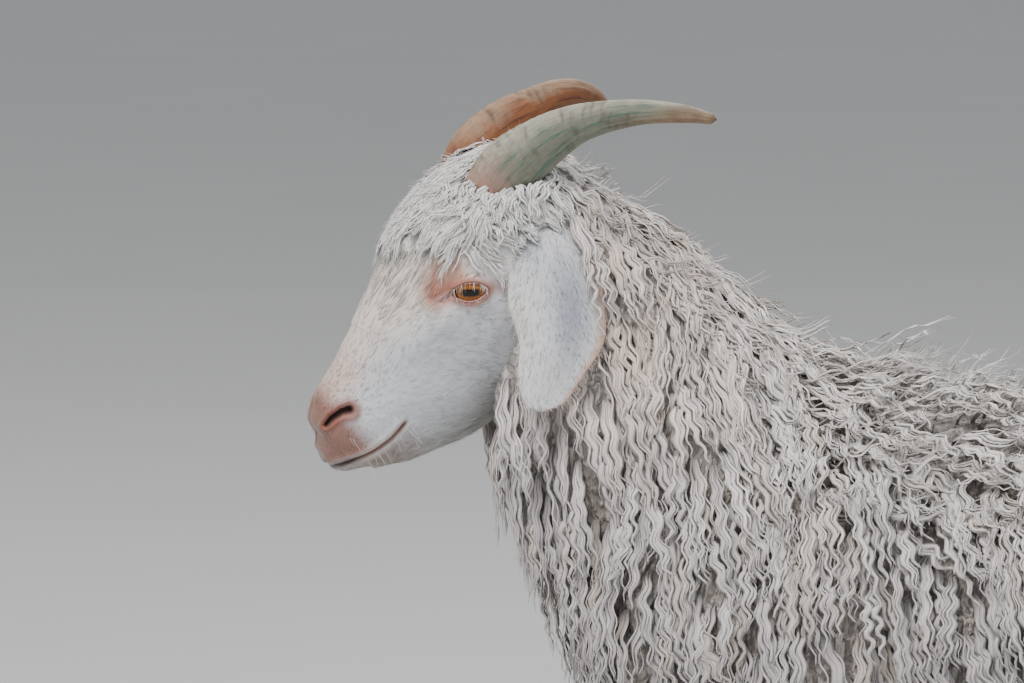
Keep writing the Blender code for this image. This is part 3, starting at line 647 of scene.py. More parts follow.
class Nodes:
    """A node tree that is built by expressions."""

    def __init__(self, tree: ShaderNodeTree | GeometryNodeTree) -> None:
        """Keeps the tree."""
        self.tree = tree

    def node(
        self, kind: str, settings: dict[str, object], values: dict[str | int, object], out: str | int = 0
    ) -> NodeSocket:
        """Makes one node.

        Args:
            kind: The node's type.
            settings: Its properties, set first.
            values: What its input sockets get, by name or place: a value, a Signal or a socket.
            out: Which of its outputs is wanted.

        Returns:
            That output.
        """
        made = self.tree.nodes.new(kind)
        for key, value in settings.items():
            setattr(made, key, value)
        for key, value in values.items():
            self.feed(made.inputs[key], value)
        return made.outputs[out]

    def feed(self, socket: NodeSocket, value: object) -> None:
        """Links a Signal or a socket to an input, or sets its value.

        Args:
            socket: The input socket.
            value: What it gets.
        """
        value = value.socket if isinstance(value, Signal) else value
        if isinstance(value, NodeSocket):
            self.tree.links.new(value, socket)
        else:
            socket.default_value = (*value, 1.0) if socket.type == "RGBA" else value

    def scaled(self, vector: object, amount: Signal) -> NodeSocket:
        """A vector made longer or shorter, or a colour lighter or darker, by a number."""
        return self.node("ShaderNodeVectorMath", {"operation": "SCALE"}, {0: vector, "Scale": amount})


class Paint(Nodes):
    """A material whose nodes are made by expressions."""

    def __init__(self, name: str) -> None:
        """Starts a material that holds one Principled shader.

        Args:
            name: The material's name.
        """
        self.material = bpy.data.materials.new(name)
        self.material.use_nodes = True
        super().__init__(self.material.node_tree)

    def coat(self, light: Signal) -> NodeSocket:
        """The colour painted on the points, made lighter or darker."""
        return self.scaled(self.node("ShaderNodeAttribute", {"attribute_name": "Coat"}, {}, "Color"), light)

    def split(self, vector: NodeSocket) -> list[Signal]:
        """The three numbers of a vector."""
        return [Signal(self, out) for out in self.node("ShaderNodeSeparateXYZ", {}, {0: vector}).node.outputs]

    def parts(self, name: str) -> list[Signal]:
        """The three numbers painted on the points, or mapped on the faces, under a name."""
        return self.split(self.node("ShaderNodeAttribute", {"attribute_name": name}, {}, "Vector"))

    def place(self) -> NodeSocket:
        """The place on the piece."""
        return self.node("ShaderNodeTexCoord", {}, {}, "Object")

    def noise(self, where: object, scale: float, detail: float = 2.0, warp: float = 0.0) -> Signal:
        """Soft noise from 0 to 1 at a place, or at three numbers.

        Args:
            where: The place.
            scale: How many spots to a unit.
            detail: How many finer layers.
            warp: How much it is twisted.

        Returns:
            The noise.
        """
        if isinstance(where, tuple):
            where = self.node("ShaderNodeCombineXYZ", {}, dict(enumerate(where)))
        values = {"Vector": where, "Scale": scale, "Detail": detail, "Distortion": warp}
        return Signal(self, self.node("ShaderNodeTexNoise", {}, values))

    def lay(self, ground: object, *coats: tuple[Signal, object]) -> NodeSocket:
        """A colour with others laid over it in turn, each by its share.

        Args:
            ground: The colour under the others.
            coats: Shares, each with its colour.

        Returns:
            The blended colour.
        """
        for share, colour in coats:
            ground = self.node("ShaderNodeMix", {"data_type": "RGBA"}, {0: share, 6: ground, 7: colour}, 2)
        return ground

    def bump(self, height: Signal, distance: float) -> NodeSocket:
        """A normal roughened by a height from 0 to 1, as deep as the distance in metres."""
        return self.node("ShaderNodeBump", {}, {"Height": height, "Distance": distance, "Strength": 1.0})

    def finish(self, values: dict[str, object]) -> Material:
        """Sets or links the shader's own sockets and hands over the material.

        Args:
            values: What each of the shader's sockets gets.

        Returns:
            The material.
        """
        shader = self.tree.nodes["Principled BSDF"]
        for key, value in values.items():
            self.feed(shader.inputs[key], value)
        return self.material


@dataclass(frozen=True)
class HairFinish:
    """Wool or hair on strands: each strand streaked along its length and darker at its root, which is painted
    shade.
    """

    name: str
    # root: how light each strand is at its root; the darkening there is painted shade
    root: float = 0.56
    streak: float = 0.56
    fibres: float = 1.9
    relief: float = 0.00025

    def material(self) -> Material:
        """The strands' material, from their painted colour and the map named Fibre."""
        paint = Paint(self.name)
        across, along, _ = paint.parts("Fibre")
        fine = paint.noise((across * self.fibres, along * 2.2), 1.0, 3.0).ease(0.3, 0.68)
        broad = paint.noise((across * 0.5, along * 5.0), 1.0, 1.0)
        # painted shade: each strand is darker at its root and lightens towards the tip
        light = along.ease(-0.1, 0.3) * (1.0 - self.root) + self.root
        light = light * (fine * self.streak + (1.0 - self.streak / 2)) * (broad * 0.2 + 0.9)
        return paint.finish({
            "Base Color": paint.coat(light),
            "Roughness": 0.55,
            "Normal": paint.bump(fine, self.relief),
            "Sheen Weight": 0.5,
            "Sheen Roughness": 0.4,
            "Subsurface Weight": 0.15,
            "Subsurface Radius": (0.01, 0.008, 0.006),
            "Subsurface Scale": 0.3,
            "Specular IOR Level": 0.28,
        })


@dataclass(frozen=True)
class SkinFinish:
    """Short hair lying on skin, bare and moist where the mask says so."""

    name: str = "skin_and_short_hair"

    def material(self) -> Material:
        """The skin's material: the mask holds bare skin, grain and fleece."""
        paint = Paint(self.name)
        along, around, _ = paint.parts("Grain")
        bare, _, wool = paint.parts("Mask")
        where = paint.place()
        wander = paint.noise(where, 60.0, 1.0) * 0.004
        hair = paint.noise((along * 140.0, (around + wander) * 1500.0), 1.0)
        tuft = paint.noise((along * 60.0, (around + wander) * 420.0), 1.0)
        pores = paint.noise(where, 1600.0)
        furry = 1.0 - bare
        light = (hair * 0.16 + tuft * 0.14 - 0.15) * furry + (pores - 0.5) * bare * 0.25 + 1.0
        relief = hair * furry * 0.6 + tuft * furry * 0.7 + pores * bare * 0.35
        return paint.finish({
            "Base Color": paint.coat(light),
            "Roughness": 0.75 - bare * 0.33 + wool * 0.1,
            "Normal": paint.bump(relief, 0.0011),
            "Sheen Weight": 0.2,
            "Sheen Roughness": 0.5,
            "Subsurface Weight": 0.12,
            "Subsurface Radius": (0.01, 0.005, 0.003),
            "Subsurface Scale": 0.4,
            "Specular IOR Level": 0.35,
        })


@dataclass(frozen=True)
class UnderwoolFinish:
    """Close wool under the locks, greyer and darker in its folds, with dark streaks and clumps that are
    painted shade between the locks.
    """

    name: str = "underwool"

    def material(self) -> Material:
        """The underwool's material, from its painted colour and its place."""
        paint = Paint(self.name)
        where = paint.place()
        x, y, z = paint.split(where)
        wander = paint.noise(where, 45.0) * 0.02
        fall = ((x + wander) * 260.0, (y + wander) * 260.0, z * 45.0)
        fibre = paint.noise(fall, 1.0).ease(0.36, 0.64)
        clump = paint.noise(where, 75.0, 2.0, 1.0).ease(0.3, 0.7)
        # painted shade: dark wavy streaks and clumps stand in for the shade of the locks above
        light = (fibre * 0.75 + 0.48) * (clump * 0.36 + 0.8)
        return paint.finish({
            "Base Color": paint.coat(light),
            "Roughness": 0.85,
            "Normal": paint.bump(fibre + clump, 0.003),
            "Sheen Weight": 0.2,
        })


@dataclass(frozen=True)
class HornFinish:
    """Ridged horn, from pale at the base to worn at the tip, streaked along its grain."""

    name: str
    base: Triple
    body: Triple
    vein: Triple
    worn: Triple
    # rim: the keel edge's colour, partly the horn's own paler edge and partly a painted highlight
    rim: Triple
    # groove: the colour of dirt and painted shade in the ring troughs and blotches
    groove: Triple
    rim_share: float = 0.5

    def material(self) -> Material:
        """The horn's material: the painted numbers are share along, keel to back, and ring height."""
        paint = Paint(self.name)
        along, keel, ring = paint.parts("Horn")
        where = paint.place()
        streak = paint.noise((along * 4.5, keel * 16.0), 1.0, 4.0, 0.8)
        blotch = paint.noise(where, 55.0, 3.0)
        fine = paint.noise((along * 24.0, keel * 130.0), 1.0, 3.0)
        # dirt and painted shade: darker in the troughs between the growth rings, towards the base, and in
        # blotches
        dirt_and_shade = ring.ease(0.4, 0.0) * 0.35 * along.ease(0.95, 0.4) * blotch.ease(0.45, 0.65)
        body = paint.lay(
            self.body,
            (streak.ease(0.47, 0.62) * 0.85, self.vein),
            # the paler keel edge: partly the horn's own colour, partly a painted highlight along its top
            ((keel + (blotch - 0.5) * 0.8).ease(0.6, 1.0) * self.rim_share, self.rim),
            ((along + blotch * 0.16).ease(0.33, 0.14), self.base),
            ((along - keel * 0.25 + blotch * 0.3).ease(0.72, 1.05), self.worn),
            (dirt_and_shade + blotch.ease(0.52, 0.7) * 0.35, self.groove),
        )
        light = fine.ease(0.25, 0.75) * 0.55 + 0.7
        return paint.finish({
            "Base Color": paint.scaled(body, light),
            "Roughness": fine * 0.18 + 0.42,
            "Normal": paint.bump(fine * 0.6 + streak * 0.6, 0.0007),
            "Subsurface Weight": 0.05,
            "Subsurface Scale": 0.3,
            "Subsurface Radius": (0.01, 0.006, 0.003),
            "Specular IOR Level": 0.4,
        })


# the rim colours are partly a painted highlight, and the groove colours are dirt and painted shade
GREY_HORN = HornFinish(
    "horn_green_grey", (0.38, 0.215, 0.165), (0.2, 0.2, 0.155), (0.07, 0.15, 0.11), (0.27, 0.18, 0.11),
    (0.42, 0.4, 0.32), (0.06, 0.045, 0.03), 0.8,
)
TAN_HORN = HornFinish(
    "horn_brown_orange", (0.2, 0.075, 0.035), (0.24, 0.085, 0.028), (0.11, 0.032, 0.011), (0.2, 0.11, 0.055),
    (0.38, 0.26, 0.17), (0.06, 0.03, 0.015), 0.7,
)


@dataclass(frozen=True)
class EyeFinish:
    """A wet amber eye with a level dark pupil."""

    name: str = "wet_eye"
    iris: float = 0.7
    pupil: tuple[float, float] = (0.4, 0.155)

    def material(self) -> Material:
        """The eye's material: the painted numbers are forward, up and out, in eyeball radii."""
        paint = Paint(self.name)
        forward, up, _ = paint.parts("Eye")
        up = up - 0.02
        out = (forward * forward + up * up) ** 0.5
        rays = paint.noise((forward.turn(up) * 7.0, out * 2.5), 1.0, 3.0)
        cloud = paint.noise((forward, up), 7.0)
        wide = forward.size() / self.pupil[0]
        high = up.size() / self.pupil[1]
        slit = wide ** 3.5 + high ** 3.0
        white = paint.lay((0.035, 0.012, 0.009), (out.ease(self.iris, self.iris * 1.3), (0.22, 0.12, 0.09)))
        ball = paint.lay(
            (0.13, 0.036, 0.006),
            (rays.ease(0.3, 0.75), (0.42, 0.145, 0.018)),
            (cloud.ease(0.45, 0.7) * 0.5, (0.46, 0.2, 0.035)),
            (slit.ease(3.2, 1.2) * 0.7, (0.055, 0.014, 0.004)),
            (out.ease(self.iris * 0.78, self.iris * 0.98), (0.045, 0.012, 0.006)),
            (out.ease(self.iris * 0.97, self.iris * 1.03), white),
            (slit.ease(1.15, 0.85), (0.002, 0.002, 0.003)),
        )
        return paint.finish({
            "Base Color": ball,
            "Roughness": 0.3,
            "Specular IOR Level": 0.2,
            "Coat Weight": 0.7,
            "Coat Roughness": 0.03,
            "Coat IOR": 1.33,
        })


@dataclass(frozen=True)
class PlainFinish:
    """One colour mottled with another, with a fine relief."""

    name: str
    colour: Triple
    mottle: Triple
    scale: float = 400.0
    roughness: float = 0.5
    relief: float = 0.0003
    coat: float = 0.0

    def material(self) -> Material:
        """The mottled material, from the place on the piece."""
        paint = Paint(self.name)
        spots = paint.noise(paint.place(), self.scale, 3.0)
        return paint.finish({
            "Base Color": paint.lay(self.colour, (spots.ease(0.35, 0.65), self.mottle)),
            "Roughness": spots * 0.15 + (self.roughness - 0.07),
            "Normal": paint.bump(spots, self.relief),
            "Coat Weight": self.coat,
            "Coat Roughness": 0.1,
        })


@dataclass(frozen=True)
class HoofFinish:
    """Dull layered hoof horn, ringed along its height and paler at the sole's edge."""

    name: str = "hoof_horn"

    def material(self) -> Material:
        """The hoof's material, from the place on the piece."""
        paint = Paint(self.name)
        x, y, z = paint.split(paint.place())
        layer = paint.noise((x * 14.0, y * 14.0, z * 300.0), 1.0, 2.0, 0.2)
        grain = paint.noise((x * 900.0, y * 900.0, z * 90.0), 1.0)
        horn = (layer.ease(0.35, 0.68), (0.15, 0.115, 0.085)), (z.ease(0.007, 0.0) * 0.6, (0.36, 0.3, 0.23))
        return paint.finish({
            "Base Color": paint.scaled(paint.lay((0.07, 0.052, 0.04), *horn), grain * 0.5 + 0.75),
            "Roughness": grain * 0.2 + 0.42,
            "Normal": paint.bump(layer * 0.6 + grain * 0.5, 0.0005),
        })


@dataclass(frozen=True)
class EyeSocket:
    """Where one eye sits in the head's frame, and the almond between its lids."""

    side: Side
    half_width: float = 0.0112
    front_reach: float = 0.0022
    upper: float = 0.0066
    lower: float = 0.0058

    def centre(self) -> Array:
        """The middle of the eyeball."""
        return np.array((EYE_AT[0], self.side.value * EYE_AT[1], EYE_AT[2]))

    def axes(self) -> tuple[Array, Array, Array]:
        """The ways out, forward and up across the lids."""
        out = unit(np.array((-0.26, self.side.value * 0.95, 0.1)))
        forward = np.array((-0.84, 0.0, 0.545))
        forward = unit(forward - out * (forward @ out))
        return out, forward, np.cross(out, forward) * self.side.value

    def edge(self, turn: Array) -> Array:
        """The almond's outline as distances forward and up, for turns from its front corner.

        Args:
            turn: The turns.

        Returns:
            The distances.
        """
        c, s = np.cos(turn), np.sin(turn)
        wide = self.half_width * c + self.front_reach * np.maximum(c, 0.0) ** 4
        high = np.where(s > 0, self.upper, self.lower) * s * (1.0 - 0.25 * c * c)
        return np.stack([wide, high], -1)

    def rim(self, turn: Array, reach: float, grow: float = 0.0) -> Array:
        """Points over the almond's outline, at a distance from the eye's middle.

        Args:
            turn: Turns from the front corner.
            reach: Distance from the middle of the eye.
            grow: How far outside the outline.

        Returns:
            The points, in the head's frame.
        """
        out, forward, up = self.axes()
        flat = self.edge(turn)
        flat = flat + unit(flat) * grow
        high = np.sqrt(np.maximum(reach**2 - (flat**2).sum(-1), 1e-8))
        return self.centre() + flat[..., :1] * forward + flat[..., 1:] * up + high[..., None] * out

    def beyond(self, points: Array) -> tuple[Array, Array, Array]:
        """How far points lie outside the almond, seen from the eye's middle.

        Args:
            points: Points of the head's frame.

        Returns:
            The distance outside the almond, and the shares forward and up, from -1 to 1.
        """
        out, forward, up = self.axes()
        way = unit(points - self.centre())
        flat = np.stack([way @ forward, way @ up], -1) * (EYE_RADIUS + LID / 2)
        turn = np.linspace(-math.pi, math.pi, 181)
        edge = self.edge(turn)
        x, y = flat[..., 0], flat[..., 1]
        reach = np.interp(np.arctan2(y, x), np.arctan2(edge[:, 1], edge[:, 0]), np.hypot(*edge.T))
        size = np.hypot(x, y)
        distance = np.where(way @ out > 0, size - reach, 0.03)
        return distance, x / np.maximum(size, 1e-9), y / np.maximum(size, 1e-9)


def off_segment(places: Array, start: Array, end: Array) -> tuple[Array, Array]:
    """How far places are from a segment, and the share along it of its nearest point.

    Args:
        places: The places.
        start: The segment's start.
        end: Its end.

    Returns:
        The distances and the shares.
    """
    run = end - start
    share = np.clip(((places - start) @ run) / (run @ run), 0.0, 1.0)
    return np.linalg.norm(places - start - share[..., None] * run, axis=-1), share


@dataclass(frozen=True)
class Face:
    """The forms and the markings of the face, in the head's frame."""

    nostril_line: tuple[tuple[float, float], ...] = (
        (-0.1672, 0.007), (-0.1715, 0.0092), (-0.179, 0.01), (-0.1852, 0.0088),
    )
    nostril_width: tuple[float, float] = (0.0026, 0.0013)
    nostril_depth: float = 0.0065
    mouth_line: tuple[tuple[float, float], ...] = (
        (-0.1453, -0.0247), (-0.1597, -0.0269), (-0.1722, -0.0258), (-0.1844, -0.0222), (-0.1971, -0.018),
    )
    mouth_depth: float = 0.0024
    tear_line: tuple[tuple[float, float], ...] = ((0.0136, -0.0006), (0.0205, -0.004))
    # height, distance from the lids' edge, width, and from where to where it grows round the eye
    lid_folds: tuple[tuple[float, ...], ...] = (
        (0.0024, 0.0125, 0.005, 0.1, 0.9), (-0.0011, 0.0056, 0.0012, 0.0, 0.7),
        (-0.0006, 0.0042, 0.001, -0.1, -0.8), (-0.0005, 0.0078, 0.0012, -0.1, -0.8),
    )
    # middle and reach along x and z, and height
    cheek_forms: tuple[tuple[float, ...], ...] = (
        (-0.052, -0.042, 0.03, 0.028, 0.0022), (-0.1, -0.01, 0.018, 0.016, -0.0016),
        (-0.092, 0.012, 0.03, 0.006, 0.0011), (-0.15, -0.012, 0.014, 0.01, 0.001),
        (-0.078, -0.004, 0.01, 0.01, -0.0012),
    )
    def sockets(self) -> tuple[EyeSocket, EyeSocket]:
        """The two eyes' sockets."""
        return EyeSocket(Side.LEFT), EyeSocket(Side.RIGHT)

    def off_nostril(self, p: Array) -> Array:
        """Distance from the nostril's line, as a multiple of its width.

        Args:
            p: Points of the head's frame.

        Returns:
            The distances, large on the midline.
        """
        line = np.array(self.nostril_line)
        best = np.full(p.shape[:-1], 99.0)
        for k, (start, end) in enumerate(zip(line, line[1:])):
            away, share = off_segment(p[..., [0, 2]], start, end)
            width = np.interp((k + share) / (len(line) - 1), (0.0, 1.0), self.nostril_width)
            best = np.minimum(best, away / width)
        return np.where(np.abs(p[..., 1]) > 0.008, best, 99.0)

    def off_mouth(self, p: Array) -> tuple[Array, Array]:
        """Height over the line of the mouth, and 1 along it fading to 0 behind its corner.

        Args:
            p: Points of the head's frame.

        Returns:
            The height and the share.
        """
        line = smooth_rows(np.array([(x, 0.0, z) for x, z in self.mouth_line]), 40)
        corner = self.mouth_line[0][0]
        level = np.interp(-p[..., 0], -line[:, 0], line[:, 2])
        return p[..., 2] - level, ease(p[..., 0], corner + 0.0035, corner - 0.0015)

    def off_tear(self, p: Array, socket: EyeSocket) -> Array:
        """Distance from the tear trough ahead of one eye.

        Args:
            p: Points of the head's frame.
            socket: The eye's socket.

        Returns:
            The distances.
        """
        out, forward, up = socket.axes()
        offset = p - socket.centre()
        flat = np.stack([offset @ forward, offset @ up], -1)
        return np.where(offset @ out > 0, off_segment(flat, *np.array(self.tear_line))[0], 0.05)

    def lids(self, p: Array, socket: EyeSocket) -> Array:
        """Wraps the skin round one eyeball, opens the almond and folds the lids.

        Args:
            p: Points of the head's frame.
            socket: The eye's socket.

        Returns:
            The points with the lids formed.
        """
        centre = socket.centre()
        away = p - centre
        r = np.linalg.norm(away, axis=-1)
        d, _, up = socket.beyond(p)
        lid = EYE_RADIUS + LID
        target = 0.5 * (r + lid + np.sqrt((r - lid) ** 2 + 0.0018**2))
        near = ease(d, 0.0105, 0.0012)
        target = target * (1 - near) + (lid + 0.0004 * bell(d, 0.0014, 0.001)) * near
        for high, middle, width, start, stop in self.lid_folds:
            target += high * bell(d, middle, width) * ease(up, start, stop)
        inside = ease(d, 0.0004, -0.0007)
        target = target * (1 - inside) + (EYE_RADIUS - 0.0026) * inside
        share = ease(r, 0.034, 0.024)
        return p + away / r[..., None] * ((target - r) * share)[..., None]

    def shaped(self, grid: Array) -> Array:
        """The plain grid of the head given lids, nostrils, lips, cheek and chin.

        Args:
            grid: Rings of points along the head, in its frame.

        Returns:
            The shaped grid.
        """
        p = grid.copy()
        normal = unit(np.cross(np.roll(p, -1, 1) - np.roll(p, 1, 1), np.gradient(p, axis=0)))
        normal *= np.sign(dots(normal, p - p.mean(1, keepdims=True)))
        push = np.zeros(p.shape[:-1])
        x, y, z = p[..., 0], np.abs(p[..., 1]), p[..., 2]
        for cx, cz, rx, rz, high in self.cheek_forms:
            push += high * np.exp(-(((x - cx) / rx) ** 2) - (((z - cz) / rz) ** 2)) * ease(y, 0.008, 0.02)
        rise, along = self.off_mouth(p)
        front = ease(x, -0.19, -0.197)
        push -= self.mouth_depth * bell(rise, 0.0, 0.001) * along * (1 - 0.5 * front)
        push += 0.0013 * bell(rise, 0.0038, 0.0026) * along
        push += 0.001 * bell(rise, -0.0036, 0.0024) * along
        away = self.off_nostril(p)
        push += 0.0013 * bell(away, 2.0, 0.85)
        push += 0.001 * bell(away, 2.2, 0.9) * ease(z, 0.009, 0.013)
        push -= 0.001 * bell(p[..., 1], 0.0, 0.0011) * ease(x, -0.176, -0.186) * ease(z, -0.02, -0.014)
        for socket in self.sockets():
            push -= 0.0014 * bell(self.off_tear(p, socket), 0.0, 0.0016)
        p += normal * push[..., None]
        dent = self.nostril_depth * ease(away, 1.15, 0.35)
        inward = np.stack([np.full_like(x, 0.3), -np.sign(p[..., 1]), np.full_like(x, 0.05)], -1)
        p += unit(inward) * dent[..., None]
        for socket in self.sockets():
            p = self.lids(p, socket)
        return p

    def colour(self, p: Array) -> Array:
        """The colour of skin and short hair at points of the head's frame.

        Args:
            p: Points of the head's frame.

        Returns:
            One colour for each point.
        """
        x, z = p[:, 0], p[:, 2]
        rise, along = self.off_mouth(p)
        away = self.off_nostril(p)
        # painted shade and light: cool grey-blue low on the face, lighter cream on top
        out = layered(np.tile((0.62, 0.64, 0.68), (len(p), 1)), (
            (ease(z + x * 0.25, -0.02, 0.012), (0.8, 0.78, 0.765)),
            (ease(x, -0.04, -0.1) * ease(z, 0.012, 0.038) * 0.5, (0.74, 0.58, 0.48)),
            (ease(x, -0.12, -0.17) * ease(z, 0.004, 0.024) * 0.65, (0.62, 0.38, 0.28)),
            (ease(x, -0.163, -0.18) * ease(rise, 0.0, 0.006) * 0.92, (0.23, 0.095, 0.062)),
            # painted shade: darker grey under the jaw
            (ease(z, -0.028, -0.066) * 0.9, (0.27, 0.265, 0.25)),
            (ease(rise, 0.0, -0.008) * ease(x, -0.13, -0.17) * 0.85, (0.26, 0.19, 0.15)),
            (ease(away, 4.2, 1.5) * 0.85, (0.3, 0.095, 0.06)),
            # painted shade: the nostrils are near black inside
            (ease(away, 1.5, 0.6), (0.07, 0.026, 0.021)),
            (bell(rise, 0.0, 0.0034) * along * 0.65, (0.5, 0.3, 0.22)),
            # painted shade: a dark line in the mouth's groove, black at its front
            (bell(rise, 0.0, 0.0012) * along * 0.95, (0.15, 0.075, 0.05)),
            (bell(rise, 0.0, 0.0032) * ease(x, -0.176, -0.192) * 0.9, (0.03, 0.022, 0.022)),
        ))
        for socket in self.sockets():
            d, ahead, up = socket.beyond(p)
            near = ease(np.linalg.norm(p - socket.centre(), axis=-1), 0.04, 0.026)
            patch = bell(d, 0.004, 0.0065) * ease(ahead, -0.35, 0.55) * ease(up, -0.75, 0.2)
            tear = self.off_tear(p, socket)
            out = layered(out, (
                (patch * near * 0.85, (0.58, 0.26, 0.165)),
                (ease(d, 0.0062, 0.0012) * near * 0.85, (0.42, 0.15, 0.1)),
                (ease(d, 0.0014, 0.0002) * near, (0.16, 0.06, 0.045)),
                (ease(tear, 0.0055, 0.0015) * near * 0.8, (0.72, 0.38, 0.31)),
                (ease(tear, 0.0019, 0.0007) * near * 0.9, (0.16, 0.13, 0.14)),
            ))
        return out

    def bare(self, p: Array) -> Array:
        """Where the skin shows without hair, from 0 to 1.

        Args:
            p: Points of the head's frame.

        Returns:
            One number for each point.
        """
        rise, along = self.off_mouth(p)
        mask = ease(self.off_nostril(p), 2.4, 1.2)
        mask = np.maximum(mask, bell(rise, 0.0, 0.0024) * along)
        pad = ease(p[..., 0], -0.182, -0.189) * ease(np.abs(p[..., 1]), 0.017, 0.01)
        mask = np.maximum(mask, pad * ease(rise, 0.001, 0.004))
        for socket in self.sockets():
            near = ease(np.linalg.norm(p - socket.centre(), axis=-1), 0.04, 0.026)
            d = socket.beyond(p)[0]
            mask = np.maximum(mask, ease(d, 0.0026, 0.0008) * near)
            mask = np.maximum(mask, ease(self.off_tear(p, socket), 0.003, 0.0012) * near)
        return mask


CELLS = {
    "head": Cell(0.01, 0.01, 0.56, 0.42),
    "neck": Cell(0.59, 0.01, 0.4, 0.26),
    "trunk": Cell(0.01, 0.45, 0.56, 0.44),
    "tail": Cell(0.91, 0.29, 0.08, 0.14),
    "fore_left": Cell(0.59, 0.29, 0.14, 0.3),
    "fore_right": Cell(0.75, 0.29, 0.14, 0.3),
    "hind_left": Cell(0.59, 0.61, 0.14, 0.36),
    "hind_right": Cell(0.75, 0.61, 0.14, 0.36),
    "ear_left": Cell(0.91, 0.45, 0.08, 0.2),
    "ear_right": Cell(0.91, 0.67, 0.08, 0.2),
}
BODY_DEPTHS = (COAT_TOP, COAT_UNDER, COAT_SIDE)
LEGS = tuple(STRIDE)
CANNON_COLOUR = (0.8, 0.76, 0.71)


def body_loft(name: str, share: float) -> Loft:
    """One part of the body under a share of its coat.

    Args:
        name: The part, as in CELLS.
        share: The share of the coat's depth.

    Returns:
        Its loft; the head's is in the head's frame.
    """
    top, low, side = (share * depth for depth in BODY_DEPTHS)
    if name == "head":
        return Loft(HEAD, (share * COAT_POLL, share * 0.01, share * 0.012))
    if name == "neck":
        return Loft(NECK, (top, side, side))
    if name == "trunk":
        return Loft(TRUNK, (top, low, side))
    if name == "tail":
        return Loft(TAIL, (share * COAT_TAIL,) * 3)
    return Loft(leg_stations(name), (share * COAT_LEG,) * 3, level=True)


@dataclass
class Skin:
    """The one skin of the whole goat, from the muzzle to the feet."""

    face: Face = field(default_factory=Face)
    coarse: float = 0.0018
    eye_zone: Triple = (0.1225, 0.1645, 0.00065)
    muzzle_zone: Triple = (0.0, 0.052, 0.0008)
    eye_turns: tuple[float, float] = (-18.0, 32.0)
    eye_turn_step: float = 0.00065
    eye_ring: Triple = (0.143, 0.144, 0.145)
    def head(self) -> Build:
        """The head, finest round the eyes and the muzzle."""
        loft = body_loft("head", 0.0)
        fine = 2001
        along = np.linspace(0.0, loft.length(), fine)
        rows = graded(along, self.coarse, (self.eye_zone, self.muzzle_zone))
        distances = np.interp(rows, np.arange(fine), along)
        turns = around(fine, closed=True)
        ring = loft.grid(np.array(self.eye_ring), turns)[1]
        arc = np.concatenate([[0.0], np.cumsum(np.linalg.norm(np.diff(ring, axis=0), axis=1))])
        even = np.linspace(0.0, arc[-1], fine)
        low, high = (math.radians(a) for a in self.eye_turns)
        spans = (low, high), (math.pi - high, math.pi - low)
        zones = [(*np.interp(span, turns, arc), self.eye_turn_step) for span in spans]
        columns = graded(even, self.coarse, zones)[:-1]
        chosen = np.interp(columns, np.arange(fine), np.interp(even, arc, turns))
        made = swept(to_world(self.face.shaped(loft.grid(distances, chosen))))
        share = np.append(np.repeat(distances / loft.length(), len(chosen)), [0.0, 1.0])
        turn = np.append(np.tile((chosen + math.pi / 2) / TAU, len(distances)), [0.5, 0.5])
        made.maps["OFBake"] = CELLS["head"].at(share, turn)
        return made

    def part(self, name: str, rows: int, columns: int) -> Build:
        """One plain part of the body.

        Args:
            name: The part, as in CELLS.
            rows: How many rings it has.
            columns: How many points a ring has.

        Returns:
            The part's surface.
        """
        turns = around(columns)
        grid = body_loft(name, 0.0).grid(rows, turns)
        if name in LEGS:
            grid[-1, :, 2] = np.minimum(grid[-1, :, 2], 0.019)
        return swept(grid, cell=CELLS[name])

    def build(self) -> Mesh:
        """The whole skin: the parts are joined into one closed surface, then painted."""
        parts = [self.part("trunk", 40, 56), self.part("neck", 30, 56), self.part("tail", 14, 20)]
        parts += [self.part(name, 70, 28) for name in LEGS]
        group = bpy.data.collections.new("body_parts")
        for made in parts:
            group.objects.link(bpy.data.objects.new("part", made.mesh("part")))
        head = linked("head", self.head().mesh("head_skin"))
        bpy.context.scene.collection.children.link(group)
        union = head.modifiers.new("union", "BOOLEAN")
        union.operation, union.solver = "UNION", "MANIFOLD"
        union.operand_type, union.collection = "COLLECTION", group
        mesh = evaluated(head)
        for obj in (*group.objects, head):
            bpy.data.objects.remove(obj)
        bpy.data.collections.remove(group)
        self.paint(mesh)
        return mesh

    def paint(self, mesh: Mesh) -> None:
        """Paints the markings, the bare places and the grain of the hair on the skin.

        Args:
            mesh: The skin.
        """
        points = mesh_arrays(mesh)[0]
        p = to_head(points)
        on_head = ease(p[:, 0], 0.045, 0.025) * ease(points[:, 2], 0.44, 0.48)
        share = on_head[:, None]
        # painted shade: the skin under the fleece is a darker grey-cream, as the shade between the locks; the
        # cannons are paler
        rest = toward(np.array((0.72, 0.66, 0.6)), CANNON_COLOUR, ease(points[:, 2:], 0.24, 0.17))
        back = ease(p[:, 0], -0.125, -0.065) * ease(p[:, 2], 0.03, -0.02)
        slant = np.stack([p[:, 0] - 0.35 * back * p[:, 2], p[:, 1], p[:, 2] + 0.25 * back * p[:, 0]], -1)
        fleece = ease(points[:, 2], 0.2, 0.3) * (1 - on_head)
        paint_points(mesh, "Coat", toward(rest, self.face.colour(p), share))
        paint_points(mesh, "Grain", np.where(share > 0.5, slant, points[:, [2, 0, 1]]))
        paint_points(mesh, "Mask", np.stack([self.face.bare(p) * on_head, np.zeros(len(p)), fleece], -1))
        mesh.shade_smooth()


